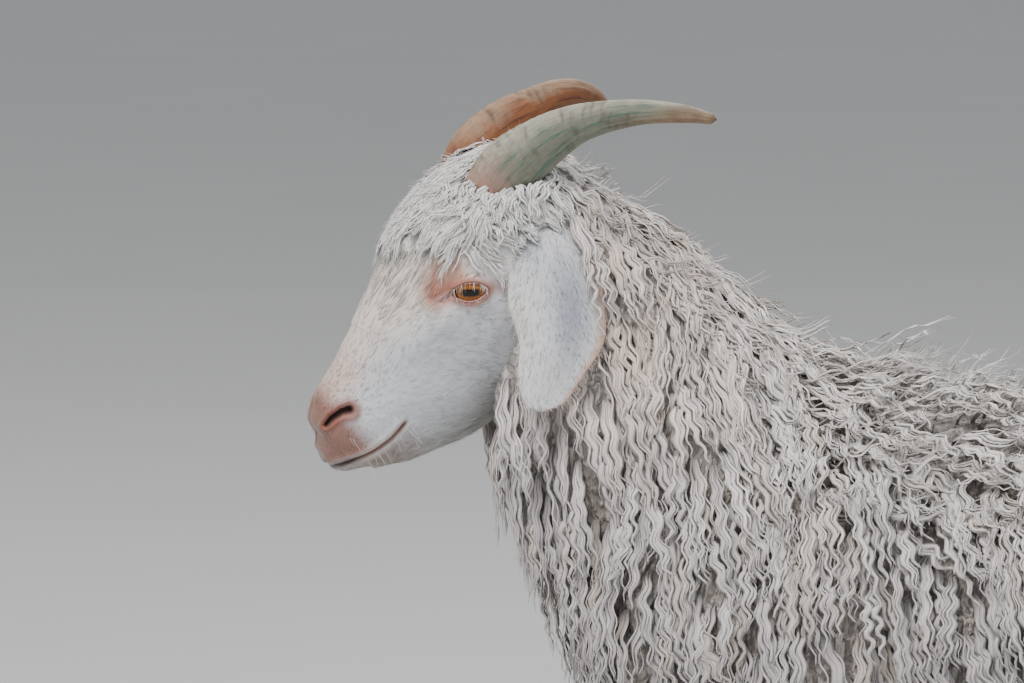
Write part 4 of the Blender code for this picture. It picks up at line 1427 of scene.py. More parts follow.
class Growth(Nodes):
    """A Geometry Nodes tree with named inputs."""

    def __init__(self, name: str, inputs: dict[str, str]) -> None:
        """Starts a tree.

        Args:
            name: The tree's name.
            inputs: The kind of each named input, after the geometry.
        """
        super().__init__(bpy.data.node_groups.new(name, "GeometryNodeTree"))
        for key, kind in {"Geometry": "Geometry", **inputs}.items():
            self.tree.interface.new_socket(key, in_out="INPUT", socket_type=f"NodeSocket{kind}")
        self.tree.interface.new_socket("Geometry", in_out="OUTPUT", socket_type="NodeSocketGeometry")
        self.given = self.tree.nodes.new("NodeGroupInput").outputs

    def attribute(self, name: str) -> NodeSocket:
        """A named vector of the points."""
        return self.node("GeometryNodeInputNamedAttribute", {"data_type": "FLOAT_VECTOR"}, {"Name": name})

    def tube(self, curve: NodeSocket, sides: int, scale: Signal | float = 1.0) -> GeometryNodeTree:
        """Ends the tree in a tube along a curve, then Realize Instances and Set Material.

        Args:
            curve: The curve.
            sides: How many sides the tube has.
            scale: Its width, as a share of Width.

        Returns:
            The finished tree.
        """
        ring = {"Resolution": sides, "Radius": self.given["Width"]}
        ring = self.node("GeometryNodeCurvePrimitiveCircle", {}, ring)
        tube = self.node("GeometryNodeCurveToMesh", {}, {
            "Curve": curve, "Profile Curve": ring, "Scale": scale, "Fill Caps": True,
        })
        whole = self.node("GeometryNodeRealizeInstances", {}, {"Geometry": tube})
        done = self.node("GeometryNodeSetMaterial", {}, {"Geometry": whole, "Material": self.given["Finish"]})
        self.tree.links.new(done, self.tree.nodes.new("NodeGroupOutput").inputs[0])
        return self.tree


def hair_tree() -> GeometryNodeTree:
    """A tree that grows one tapered, bending hair from each point, along its Way and towards its Sag."""
    tree = Growth("bristles", {
        "Width": "Float", "Segments": "Int", "Wander": "Float", "Seed": "Int", "Finish": "Material",
    })
    line = tree.node("GeometryNodeCurvePrimitiveLine", {}, {"End": (0.0, 0.0, 1.0)})
    line = tree.node("GeometryNodeResampleCurve", {}, {"Curve": line, "Count": tree.given["Segments"]})
    way = tree.attribute("Way")
    grown = tree.node("GeometryNodeInstanceOnPoints", {}, {
        "Points": tree.given["Geometry"], "Instance": line,
        "Rotation": tree.node("FunctionNodeAlignRotationToVector", {"axis": "Z"}, {"Vector": way}),
        "Scale": tree.node("ShaderNodeVectorMath", {"operation": "LENGTH"}, {0: way}, "Value"),
    })
    grown = tree.node("GeometryNodeRealizeInstances", {}, {"Geometry": grown})
    share = Signal(tree, tree.node("GeometryNodeSplineParameter", {}, {}, "Factor"))
    chance = tree.node("FunctionNodeRandomValue", {"data_type": "FLOAT_VECTOR"}, {
        0: (-1.0, -1.0, -1.0), 1: (1.0, 1.0, 1.0),
        "ID": tree.node("GeometryNodeCurveOfPoint", {}, {}, "Curve Index"), "Seed": tree.given["Seed"],
    })
    sag = tree.scaled(tree.attribute("Sag"), share * share)
    drift = tree.scaled(chance, share * share * Signal(tree, tree.given["Wander"]))
    offset = tree.node("ShaderNodeVectorMath", {"operation": "ADD"}, {0: sag, 1: drift})
    grown = tree.node("GeometryNodeSetPosition", {}, {"Geometry": grown, "Offset": offset})
    return tree.tube(grown, 5, 1.0 - share ** 1.6 * 0.85)


def rim_tree() -> GeometryNodeTree:
    """A tree that runs a smooth roll along a line of edges."""
    tree = Growth("rim", {"Width": "Float", "Count": "Int", "Finish": "Material"})
    curve = tree.node("GeometryNodeMeshToCurve", {}, {"Mesh": tree.given["Geometry"]})
    curve = tree.node("GeometryNodeResampleCurve", {}, {"Curve": curve, "Count": tree.given["Count"]})
    return tree.tube(curve, 12)


def grown_mesh(
    tree: GeometryNodeTree, points: Array, edges: Sequence[tuple[int, int]],
    vectors: dict[str, Array], inputs: dict[str, object],
) -> Mesh:
    """Runs a Geometry Nodes tree over some points and makes the result plain.

    Args:
        tree: The tree.
        points: The points that it starts from.
        edges: The edges between them.
        vectors: Named vectors on the points.
        inputs: The values of the tree's named inputs.

    Returns:
        The plain mesh.
    """
    base = bpy.data.meshes.new("roots")
    base.from_pydata(points.tolist(), list(edges), [])
    for key, values in vectors.items():
        paint_points(base, key, values)
    obj = linked("roots", base)
    grower = obj.modifiers.new("grow", "NODES")
    grower.node_group = tree
    for item in tree.interface.items_tree:
        if item.in_out == "INPUT" and item.name in inputs:
            grower[item.identifier] = inputs[item.name]
    mesh = evaluated(obj)
    obj.modifiers.remove(grower)
    bpy.data.objects.remove(obj)
    mesh.shade_smooth()
    return mesh


@dataclass
class Eye:
    """One eye: the ball with its bulging cornea, the rims of the lids, the tear corner and the lashes."""

    side: Side
    rows: int = 60
    columns: int = 72
    cornea: float = 0.055
    pupil_tilt: float = 0.09
    cornea_spread: float = 0.62
    upper_lashes: int = 34
    lash_length: float = 0.008
    lash_width: float = 0.0001

    def socket(self) -> EyeSocket:
        """Where the eye sits."""
        return EyeSocket(self.side)

    def ball(self) -> Mesh:
        """The eyeball."""
        out, forward, up = self.socket().axes()
        centre = self.socket().centre()
        polar = np.linspace(0.02, math.pi - 0.05, self.rows)[:, None]
        turn = circle(self.columns)[None, :]
        reach = EYE_RADIUS * (1.0 + self.cornea * np.exp(-((polar / self.cornea_spread) ** 2)))
        wide = np.sin(polar)
        parts = (np.cos(polar) * np.ones_like(turn), wide * np.cos(turn), wide * np.sin(turn))
        way = parts[0][..., None] * out + parts[1][..., None] * forward + parts[2][..., None] * up
        front, rear = centre + out * EYE_RADIUS * (1.0 + self.cornea), centre - out * EYE_RADIUS
        made = swept(to_world(centre + way * reach[..., None]), to_world(front), to_world(rear))
        level = unit(forward + up * self.pupil_tilt)
        offset = (to_head(made.points) - centre) / EYE_RADIUS
        across = np.cross(out, level) * self.side.value
        made.painted["Eye"] = np.stack([offset @ level, offset @ across, offset @ out], 1)
        return made.mesh("eyeball")

    def rim(self, finish: Material) -> Mesh:
        """The moist margin of both lids.

        Args:
            finish: Its material.

        Returns:
            The margin's mesh.
        """
        turns = np.linspace(0.0, TAU, 72, endpoint=False)
        points = to_world(self.socket().rim(turns, EYE_RADIUS + LID * 0.5, 0.0003))
        edges = [(k, (k + 1) % 72) for k in range(72)]
        return grown_mesh(rim_tree(), points, edges, {}, {"Width": 0.00085, "Count": 90, "Finish": finish})

    def tear(self) -> Mesh:
        """The dark fleshy corner that fills the front of the almond."""
        socket = self.socket()
        out, forward, up = socket.axes()
        centre = socket.centre()
        rows = []
        for share, half in ((0.0, 0.001), (0.3, 0.0021), (0.65, 0.0019), (1.0, 0.0009)):
            flat = (0.0102 + 0.005 * share, -0.0002 - 0.001 * share)
            reach = EYE_RADIUS + 0.0007
            deep = math.sqrt(max(reach**2 - flat[0] ** 2 - flat[1] ** 2, 1e-6))
            rows.append((*(centre + flat[0] * forward + flat[1] * up + deep * out), half))
        fine = smooth_rows(np.array(rows), 16)
        turn = circle(16)
        ring = np.cos(turn)[:, None] * up + np.sin(turn)[:, None] * out * 0.7
        grid = fine[:, None, :3] + ring[None] * fine[:, 3][:, None, None]
        return swept(to_world(grid)).mesh("tear_corner")

    def lashes(self, finish: Material, chance: np.random.Generator) -> Mesh:
        """The pale lashes: long and hanging over the eye above, short below.

        Args:
            finish: Their material.
            chance: The source of chance.

        Returns:
            Their mesh.
        """
        socket = self.socket()
        out, forward, up = socket.axes()
        upper = np.sort(chance.uniform(0.06 * math.pi, 0.94 * math.pi, self.upper_lashes))
        lower = np.sort(chance.uniform(1.15 * math.pi, 1.85 * math.pi, self.upper_lashes // 2))
        turns = np.concatenate([upper, lower])
        above = np.arange(len(turns)) < len(upper)
        roots = socket.rim(turns, EYE_RADIUS + LID * 0.9, 0.0006)
        long = self.lash_length * np.where(above, chance.uniform(0.75, 1.15, len(turns)), 0.35)[:, None]
        lift = np.where(above, 0.25, -0.3)[:, None]
        way = unit(out + up * lift + forward * chance.normal(0.1, 0.14, (len(turns), 1))) * long * 0.62
        sag = np.where(above[:, None], (-up * 0.72 + out * 0.05) * long, (-up * 0.4) * long)
        turn = HEAD_PLACE[:3, :3].T
        return grown_mesh(hair_tree(), to_world(roots), [], {"Way": way @ turn, "Sag": sag @ turn}, {
            "Width": self.lash_width, "Segments": 8, "Wander": 0.0012, "Seed": 5, "Finish": finish,
        })


@dataclass
class Whiskers:
    """The few long hairs of the chin and lips."""

    count: int = 46
    long: float = 0.016
    heights: tuple[float, ...] = (-0.03, -0.034, -0.04, -0.01, -0.006)

    def build(self, surface: BVHTree, finish: Material, chance: np.random.Generator) -> Mesh:
        """Grows the hairs from the lips and the chin.

        Args:
            surface: The skin.
            finish: Their material.
            chance: The source of chance.

        Returns:
            Their mesh.
        """
        side = np.where(chance.random(self.count) < 0.5, -1.0, 1.0)
        x = chance.uniform(-0.188, -0.14, self.count)
        z = chance.choice(self.heights, self.count) + chance.normal(0.0, 0.002, self.count)
        guess = np.stack([x, side * 0.03, z], 1)
        roots, ways, sags = [], [], []
        for point in to_world(guess):
            place, normal, _, _ = surface.find_nearest(Vector(point))
            normal = np.array(normal)
            long = self.long * chance.uniform(0.5, 1.0)
            back = HEAD_PLACE[:3, 0]
            roots.append(np.array(place) - normal * 0.0006)
            ways.append(unit(normal + back * 0.2 - UP * 0.4) * long)
            sags.append((back * 0.3 - UP * 0.5) * long * 0.5)
        vectors = {"Way": np.array(ways), "Sag": np.array(sags)}
        return grown_mesh(hair_tree(), np.array(roots), [], vectors, {
            "Width": 0.00011, "Segments": 8, "Wander": 0.003, "Seed": 8, "Finish": finish,
        })


HORN_POINTS = {
    Side.LEFT: (
        (-0.016, -0.022, 0.042, 0.036), (0.002, -0.028, 0.052, 0.0395), (0.0213, -0.033, 0.0556, 0.0425),
        (0.0509, -0.046, 0.0561, 0.0333), (0.0729, -0.062, 0.0524, 0.0247), (0.0999, -0.088, 0.04, 0.017),
        (0.1211, -0.11, 0.0226, 0.012), (0.1311, -0.121, 0.0106, 0.007),
    ),
    Side.RIGHT: (
        (-0.016, 0.022, 0.044, 0.036), (0.002, 0.028, 0.055, 0.0395), (0.0207, 0.031, 0.0615, 0.04),
        (0.0433, 0.036, 0.061, 0.034), (0.0649, 0.043, 0.0545, 0.0285), (0.0842, 0.052, 0.0463, 0.0235),
        (0.0981, 0.062, 0.034, 0.0185), (0.1045, 0.072, 0.018, 0.013), (0.102, 0.08, 0.004, 0.008),
    ),
}


@dataclass
class Horn:
    """One swept, keeled horn with growth rings and a worn tip."""

    side: Side
    rows: int = 230
    columns: int = 64
    thickness: float = 0.68
    ring_step: float = 0.0068
    ring_height: float = 0.00015

    def middle(self, rows: int) -> tuple[Array, Array, Array, Array, Array]:
        """The places, half widths, tangents, outward ways and keel ways down the horn's middle.

        Args:
            rows: How many even steps to take.

        Returns:
            Those five, one row for each step.
        """
        fine = smooth_rows(np.array(HORN_POINTS[self.side]), rows)
        side = self.side.value
        tangent = unit(np.gradient(fine[:, :3], axis=0))
        away = np.array((0.25, side, 0.0))
        outward = unit(away - tangent * (tangent @ away)[:, None])
        return fine[:, :3], fine[:, 3] / 2, tangent, outward, np.cross(tangent, outward) * side

    def mesh(self) -> Mesh:
        """The horn in the goat's frame."""
        places, half, tangent, outward, keel = self.middle(self.rows)
        turn = circle(self.columns)
        c, s = np.cos(turn), np.sin(turn)
        along = np.linalg.norm(np.diff(places, axis=0), axis=1).cumsum()
        along = np.concatenate([[0.0], along])[:, None]
        share = along / along[-1]
        wobble = 0.0011 * np.sin(turn * 2 + 1.3 + along * 60.0) + 0.0007 * np.sin(turn * 5 + along * 140.0)
        phase = (along + wobble + 0.003 * (1 - c)) / self.ring_step * TAU
        ring = 0.5 + 0.5 * np.sin(phase + 0.9 * np.sin(phase * 0.37))
        ring = ring ** 1.6
        patchy = 0.55 + 0.45 * np.sin(along * 95.0 + 2.0 * c) * np.sin(turn * 2.0 + along * 30.0)
        strength = (1.0 - 0.92 * ease(share, 0.3, 0.8)) * ease(share, 0.0, 0.06) * patchy
        groove = np.sin(turn * 9.0 + 1.5 * np.sin(along * 40.0)) * 0.00012
        groove = groove + np.sin(turn * 17.0 + along * 90.0) * 0.00006
        lift = (ring - 0.4) * self.ring_height * 2.0 * strength + groove
        edge = 0.001 * np.maximum(c, 0.0) ** 8 * (1 - share)
        pinch = 1.0 - 0.35 * np.maximum(c, 0.0) ** 2
        deep = (half[:, None] * c)[..., None] * keel[:, None]
        wide = (half[:, None] * self.thickness * pinch * s)[..., None] * outward[:, None]
        radial = unit(deep + wide)
        grid = places[:, None] + deep + wide + radial * (lift + edge)[..., None]
        tip = places[-1] + tangent[-1] * 0.0035
        made = swept(to_world(grid), None, to_world(tip))
        numbers = np.stack(np.broadcast_arrays(share, (c + 1) / 2, ring), -1).reshape(-1, 3)
        made.painted["Horn"] = np.concatenate([numbers, [[0.0, 0.5, 0.0], [1.0, 0.5, 0.5]]])
        return made.mesh("horn")

    def keep_out(self) -> Array:
        """Points inside the horn in the goat's frame, each with its radius."""
        places, half, _, _, keel = self.middle(22)
        return np.concatenate([
            np.concatenate([to_world(places + keel * (half * off)[:, None]), half[:, None] * size], 1)
            for off, size in ((-0.45, 0.52), (0.0, 0.64), (0.45, 0.5))
        ])


@dataclass
class Ear:
    """One hanging ear, a leaf curled into a cup that opens towards the head."""

    side: Side
    rows: int = 96
    columns: int = 40
    root: Triple = (0.008, 0.046, 0.008)
    thick: float = 0.0027
    thin: float = 0.0014
    # share of the length, middle along X, half width, cup in degrees, place outward and how far it hangs
    leaf: tuple[tuple[float, ...], ...] = (
        (-0.14, -0.001, 0.011, 190.0, -0.014, 0.012), (0.0, -0.001, 0.02, 140.0, 0.006, 0.002),
        (0.15, 0.001, 0.029, 105.0, 0.019, -0.016), (0.4, 0.006, 0.0315, 75.0, 0.029, -0.047),
        (0.6, 0.007, 0.028, 62.0, 0.034, -0.07), (0.8, 0.002, 0.0215, 52.0, 0.038, -0.092),
        (0.93, -0.003, 0.015, 46.0, 0.04, -0.1065), (0.98, -0.005, 0.01, 42.0, 0.041, -0.1115),
        (1.0, -0.006, 0.0045, 40.0, 0.041, -0.1135),
    )

    def sheet(self) -> tuple[Array, Array, Array]:
        """The middle of the ear's wall, its normals and the share across it of each point."""
        side = self.side.value
        fine = smooth_rows(np.array([(0.0, r[4], r[5], r[1], r[2], r[3]) for r in self.leaf]), self.rows)
        share = np.linspace(0.0, 1.0, self.rows)[:, None]
        across = np.linspace(-1.0, 1.0, self.columns)[None, :]
        outward, hang, middle, half, degrees = (fine[:, k][:, None] for k in range(1, 6))
        cup = np.radians(degrees)
        bend = half / np.sin(np.minimum(cup, math.pi) / 2)
        turn = cup * across / 2
        notch = 0.003 * bell(share, 0.335, 0.016) * np.maximum(across, 0.0) ** 3
        wave = 0.0011 * np.sin(share * 19.0 + 1.0) * np.abs(across) ** 4
        wide = middle + bend * np.sin(turn) - notch + wave
        fold = -0.003 * bell(across, 0.8, 0.16) * ease(share, 0.1, 0.2) * ease(share, 0.44, 0.33)
        dish = 0.0012 * np.sin(across * 2.4 + share * 5.0) * ease(share, 0.05, 0.3)
        out = outward - bend * (1.0 - np.cos(turn)) + fold + dish
        place = to_world(np.array((self.root[0], side * self.root[1], self.root[2])))
        points = place + np.stack([wide, side * out, np.broadcast_to(hang, wide.shape)], -1)
        normal = unit(np.cross(np.gradient(points, axis=0), np.gradient(points, axis=1)))
        if (normal[..., 1] * side).sum() < 0:
            normal = -normal
        return points, normal, across

    def build(self) -> Build:
        """The ear with both faces of its wall, its grain and its colours."""
        points, normal, across = self.sheet()
        share = np.linspace(0.0, 1.0, self.rows)[:, None]
        wall = (self.thick + (self.thin - self.thick) * ease(share, 0.1, 0.7)) / 2
        wall = wall * np.sqrt(1.0 - 0.8 * np.abs(across) ** 8)
        outer = points + normal * wall[..., None]
        inner = points - normal * wall[..., None]
        grid = np.concatenate([outer, inner[:, ::-1]], 1)
        end = points[-1].mean(0) + (points[-1].mean(0) - points[-3].mean(0)) * 0.6
        made = swept(grid, None, end, CELLS[f"ear_{self.side.name.lower()}"])
        u = np.concatenate([across[0], across[0][::-1]])
        long = np.append(np.repeat(share[:, 0], 2 * self.columns), [0.0, 1.0])
        wide = np.append(np.tile(u, self.rows), [0.0, 0.0])
        inside = np.append(np.tile(np.arange(2 * self.columns) >= self.columns, self.rows), [False, False])
        made.painted["Coat"] = self.colour(long, wide, inside)
        made.painted["Grain"] = np.stack([long * 0.13, wide * 0.03, np.where(inside, 0.5, 0.0)], 1)
        made.painted["Mask"] = np.stack([np.where(inside, 0.25, 0.0), wide * 0, wide * 0], 1)
        return made

    def colour(self, long: Array, wide: Array, inside: Array) -> Array:
        """The colour for shares along and across the ear.

        Args:
            long: Shares down the ear.
            wide: Shares across it, from -1 to 1.
            inside: Whether it is the inner face.

        Returns:
            One colour for each place.
        """
        return layered(np.tile((0.72, 0.725, 0.74), (len(long), 1)), (
            # painted shade: grey-blue in the ear's cup and in the fold near its root
            (bell(wide, 0.25, 0.4) * bell(long, 0.55, 0.3) * 0.9, (0.28, 0.31, 0.375)),
            (bell(wide, -0.35, 0.22) * bell(long, 0.22, 0.16) * 0.7, (0.32, 0.35, 0.41)),
            (inside * 0.85, (0.7, 0.44, 0.36)),
            (ease(wide, 0.66, 0.97) * 0.85, (0.7, 0.43, 0.31)),
            (ease(wide, -0.7, -0.98) * 0.6, (0.76, 0.73, 0.66)),
            (ease(long, 0.16, 0.02) * ease(wide, 0.2, -0.5) * 0.7, (0.8, 0.74, 0.58)),
            (bell(long, 0.62, 0.16) * bell(wide, -0.75, 0.22) * 0.4, (0.7, 0.62, 0.52)),
        ))

    def keep_out(self) -> Array:
        """Points of the middle of the ear's wall with a radius round each."""
        points = self.sheet()[0][4::6, 2::5].reshape(-1, 3)
        return np.concatenate([points, np.full((len(points), 1), 0.0065)], 1)


@dataclass
class Claw:
    """One claw of a cloven hoof."""

    leg: str
    inner: bool
    length: float = 0.056
    width: float = 0.0205
    cleft: float = 0.0035
    toe_height: float = 0.034
    heel_height: float = 0.021
    heel_reach: float = 0.026
    rows: int = 22
    columns: int = 40

    def top(self, x: Array) -> Array:
        """The height of the hoof's sloping top.

        Args:
            x: Places along the hoof.

        Returns:
            The heights.
        """
        foot = leg_stations(self.leg)[-1].at
        toe, heel = self.toe_height, self.heel_height
        return (toe + heel) / 2 - (x - foot[0]) * (toe - heel) / self.length

    def mesh(self) -> Mesh:
        """The claw, flat on the floor, its wall ringed and its toe worn."""
        foot = leg_stations(self.leg)[-1].at
        out = 1.0 if foot[1] > 0 else -1.0
        side = -out if self.inner else out
        middle = foot[1] + side * (self.cleft / 2 + self.width / 2)
        turn = circle(self.columns)[None, :]
        c, s = np.cos(turn), np.sin(turn)
        share = np.linspace(0.0, 1.0, self.rows)[:, None]
        shrink = 1.0 - 0.1 * share - 0.14 * ease(share, 0.7, 1.0) ** 2 - 0.035 * ease(share, 0.1, 0.0)
        toe = 1.0 - 0.42 * np.maximum(-c, 0.0) ** 1.5
        growth = 0.00022 * np.sin(share * 34.0 + 0.8 * np.sin(turn + share * 3.0))
        lean = 0.006 * share + 0.013 * share * np.maximum(-c, 0.0) ** 1.3
        x = foot[0] + self.heel_reach - self.length / 2 + lean + c * (self.length / 2 * shrink + growth)
        y = middle + s * (self.width / 2 * shrink * toe + growth)
        inward = np.maximum(s * -side, 0.0)
        y = y + side * 0.001 * inward * ease(share, 0.0, 0.4)
        z = self.top(x) * share * np.ones_like(c) - 0.0004 * share
        return swept(np.stack([x, y, z], -1)).mesh("claw")


class Unwrap:
    """Finds the place on the coat's map under points of the body."""

    def __init__(self) -> None:
        """Spreads known places over every part."""
        places, marks, self.parts = [], [], []
        for k, name in enumerate(n for n in CELLS if not n.startswith("ear")):
            rows, columns = (70, 60) if name in ("head", "neck", "trunk") else (40, 24)
            grid = body_loft(name, 0.25).grid(rows, around(columns, closed=True))
            turn, share = np.meshgrid(np.linspace(0.0, 1.0, columns), np.linspace(0.0, 1.0, rows))
            places.append((to_world(grid) if name == "head" else grid).reshape(-1, 3))
            marks.append(CELLS[name].at(share, turn).reshape(-1, 2))
            self.parts.append(np.full(rows * columns, k))
        self.marks = np.concatenate(marks)
        self.parts = np.concatenate(self.parts)
        self.tree = KDTree(len(self.marks))
        for k, place in enumerate(np.concatenate(places).tolist()):
            self.tree.insert(place, k)
        self.tree.balance()

    def find(self, points: Array) -> tuple[Array, Array]:
        """The map's places and the parts under some points."""
        found = np.array([self.tree.find(point)[1] for point in points.tolist()], int)
        return self.marks[found], self.parts[found]

    def cover(self, mesh: Mesh) -> None:
        """Maps a mesh of the body, with no face stretched across a seam of the map.

        Args:
            mesh: The mesh.
        """
        place, part = self.find(mesh_arrays(mesh)[0])
        corners = np.empty(len(mesh.loops), np.int32)
        mesh.loops.foreach_get("vertex_index", corners)
        starts = np.empty(len(mesh.polygons), np.int32)
        mesh.polygons.foreach_get("loop_start", starts)
        sizes = np.diff(np.append(starts, len(corners)))
        first = np.repeat(corners[starts], sizes)
        far = (part[corners] != part[first]) | (np.abs(place[corners] - place[first]).max(1) > 0.08)
        mapped = np.where(far[:, None], place[first], place[corners])
        mesh.uv_layers.new(name="OFBake").uv.foreach_set("vector", mapped.astype(np.float32).ravel())


def nearest(tree: BVHTree, points: Array) -> tuple[Array, Array]:
    """The nearest places on a surface and the normals there."""
    found = [tree.find_nearest(point) for point in points.tolist()]
    return np.array([f[0] for f in found]), np.array([f[1] for f in found])


def picked(
    points: Array, tris: Array, weight: Array, count: int, chance: np.random.Generator
) -> tuple[Array, Array, Array]:
    """Picks triangles by chance, more often the larger and the heavier ones.

    Args:
        points: The mesh's points.
        tris: Its triangles.
        weight: How much each triangle grows, from 0.
        count: How many to pick.
        chance: The source of chance.

    Returns:
        Which triangles they are, their corners and their normals.
    """
    a, b, c = (points[tris[:, k]] for k in range(3))
    cross = np.cross(b - a, c - a)
    area = np.linalg.norm(cross, axis=1) * weight
    pick = chance.choice(len(tris), count, p=area / area.sum())
    return pick, points[tris[pick]], unit(cross[pick])


def scattered(
    points: Array, tris: Array, weight: Array, count: int, chance: np.random.Generator, apart: float = 0.0
) -> tuple[Array, Array]:
    """Spreads roots over triangles.

    Args:
        points: The mesh's points.
        tris: Its triangles.
        weight: How much each triangle grows, from 0.
        count: How many roots to try.
        chance: The source of chance.
        apart: The least distance between them.

    Returns:
        The roots and the normals there.
    """
    _, corners, normals = picked(points, tris, weight, count, chance)
    u, v = chance.random((2, count, 1))
    over = u + v > 1
    u, v = np.where(over, 1 - u, u), np.where(over, 1 - v, v)
    a, b, c = corners.swapaxes(0, 1)
    roots = a + (b - a) * u + (c - a) * v
    if apart == 0.0:
        return roots, normals
    kept, cells = [], {}
    for k, root in enumerate(roots.tolist()):
        x, y, z = (math.floor(value / apart) for value in root)
        near = (cells.get((x + i, y + j, z + m)) for i, j, m in product((-1, 0, 1), repeat=3))
        if all(other is None or math.dist(root, other) >= apart for other in near):
            cells[x, y, z] = root
            kept.append(k)
    return roots[kept], normals[kept]


@dataclass(frozen=True)
class Strands:
    """Closed three-sided blades along paths, each ending in a point."""

    paths: Array
    normals: Array
    widths: Array
    colours: Array
    marks: Array
    ridges: Array
    tip_from: float = 0.55

    def build(self) -> Build:
        """All the strands as one mesh, streaked along Fibre and mapped at their roots."""
        count, rings = self.paths.shape[0], self.paths.shape[1] - 1
        share = np.linspace(0.0, 1.0, rings + 1)
        tangent = unit(np.gradient(self.paths, axis=1))
        across = unit(np.cross(tangent, self.normals))
        raised = np.cross(across, tangent)
        profile = (0.55 + 0.45 * ease(share, 0.0, 0.15)) * (1.0 - 0.7 * ease(share, self.tip_from, 1.0))
        swell = 1.0 + 0.13 * np.sin(share[None] * 17.0 + np.arange(count)[:, None] * 1.7)
        half = (self.widths[:, None] * profile[None] * swell / 2)[..., None]
        ridge = raised * half * self.ridges[:, None, None]
        sides = np.stack((self.paths - across * half, self.paths + ridge, self.paths + across * half), 2)
        rows = sides[:, :rings].reshape(count, rings * 3, 3)
        points = np.concatenate([rows, self.paths[:, -1:]], 1)
        size = rings * 3 + 1
        i = np.arange(rings - 1)[:, None] * 3
        j = np.arange(3)[None, :]
        k = (j + 1) % 3
        quads = np.stack(np.broadcast_arrays(i + j, i + k, i + 3 + k, i + 3 + j), -1).reshape(-1, 4)
        last = (rings - 1) * 3
        tris = np.array([(2, 1, 0), *((last + a, last + (a + 1) % 3, size - 1) for a in range(3))])
        shift = (np.arange(count) * size)[:, None, None]
        s = np.append(np.repeat(share[:rings], 3), 1.0)
        t = np.append(np.tile((0.0, 0.5, 1.0), rings), 0.5)
        seed = (np.arange(count) * 7.31 % 50.0)[:, None]
        fibre = seed + t[None] * self.widths[:, None] * 1000.0
        fibre = np.stack([fibre, np.broadcast_to(s, (count, size))], -1)
        patch = self.marks[:, None] + np.stack([t - 0.5, s - 0.5], -1)[None] * 0.003
        colours = np.broadcast_to(self.colours[:, None], (count, size, 3))
        made = Build(
            points.reshape(-1, 3), (quads[None] + shift).reshape(-1, 4), (tris[None] + shift).reshape(-1, 3),
            {"OFBake": patch.reshape(-1, 2), "Fibre": fibre.reshape(-1, 2)}, {"Coat": colours.reshape(-1, 3)},
        )
        return outward(made)

    def pieces(self, most: int = 190_000) -> list["Strands"]:
        """The strands in groups, each under a number of triangles, in order along the body.

        Args:
            most: The most triangles in one group.

        Returns:
            The groups.
        """
        each = 6 * (self.paths.shape[1] - 2) + 4
        order = np.argsort(self.paths[:, 0, 0])
        groups = np.array_split(order, math.ceil(len(order) * each / most))
        arrays = (self.paths, self.normals, self.widths, self.colours, self.marks, self.ridges)
        return [Strands(*(values[group] for values in arrays), self.tip_from) for group in groups]


@dataclass(frozen=True)
class Wool:
    """How one kind of wool grows. Lengths are in metres."""

    long: float
    width: float
    strands: int
    rings: int
    lift: float
    wave: float
    crimp: float
    hang: Triple
    curl: float = 0.006
    loose: float = 0.5
    rise: float = 0.6
    drag: float = 0.45
    clump: float = 0.45
    soft: bool = False

SIDE_WOOL = Wool(0.082, 0.0084, 5, 20, 0.021, 0.0019, 0.019, (0.2, 0.08, -1.0), loose=1.0, clump=0.24)
REAR_WOOL = Wool(0.115, 0.015, 3, 16, 0.022, 0.0034, 0.034, (0.14, 0.1, -1.0), loose=0.8, clump=0.34)
TOP_WOOL = Wool(0.052, 0.007, 5, 16, 0.022, 0.0024, 0.0185, (0.6, 0.8, -0.35), 0.014, 1.3, 1.0, clump=0.35)
REAR_TOP_WOOL = Wool(0.08, 0.016, 3, 13, 0.024, 0.0036, 0.032, (0.4, 1.0, -0.4), 0.013, 1.2, 1.0)
SPINE_WOOL = Wool(0.07, 0.015, 3, 12, 0.026, 0.0038, 0.03, (1.0, 0.35, -0.1), 0.014, 1.0, 1.0, clump=0.2)
LEG_WOOL = Wool(0.058, 0.011, 2, 10, 0.012, 0.0024, 0.028, (0.05, 0.05, -1.0), 0.004, 0.8, 0.4)
TAIL_WOOL = Wool(0.05, 0.009, 3, 10, 0.01, 0.002, 0.024, (0.5, 0.4, -0.9))
WISPS = Wool(0.046, 0.003, 2, 9, 0.036, 0.0036, 0.022, (0.45, 0.35, 0.0), 0.018, 1.2, 1.4, clump=0.0)
FORELOCK_WOOL = Wool(
    0.033, 0.0038, 5, 10, 0.006, 0.0009, 0.024, (-0.62, 0.25, -0.8), 0.004, 1.0, 0.5, clump=0.35, soft=True
)
COLLAR_WOOL = Wool(
    0.021, 0.0036, 4, 8, 0.008, 0.0011, 0.013, (-0.1, 0.35, -0.3), 0.006, 1.2, 1.7, 0.25, clump=0.3, soft=True
)
TEMPLE_WOOL = Wool(
    0.026, 0.0038, 4, 8, 0.006, 0.0009, 0.022, (0.55, 0.2, -0.75), 0.004, 1.0, 0.5, clump=0.3, soft=True
)


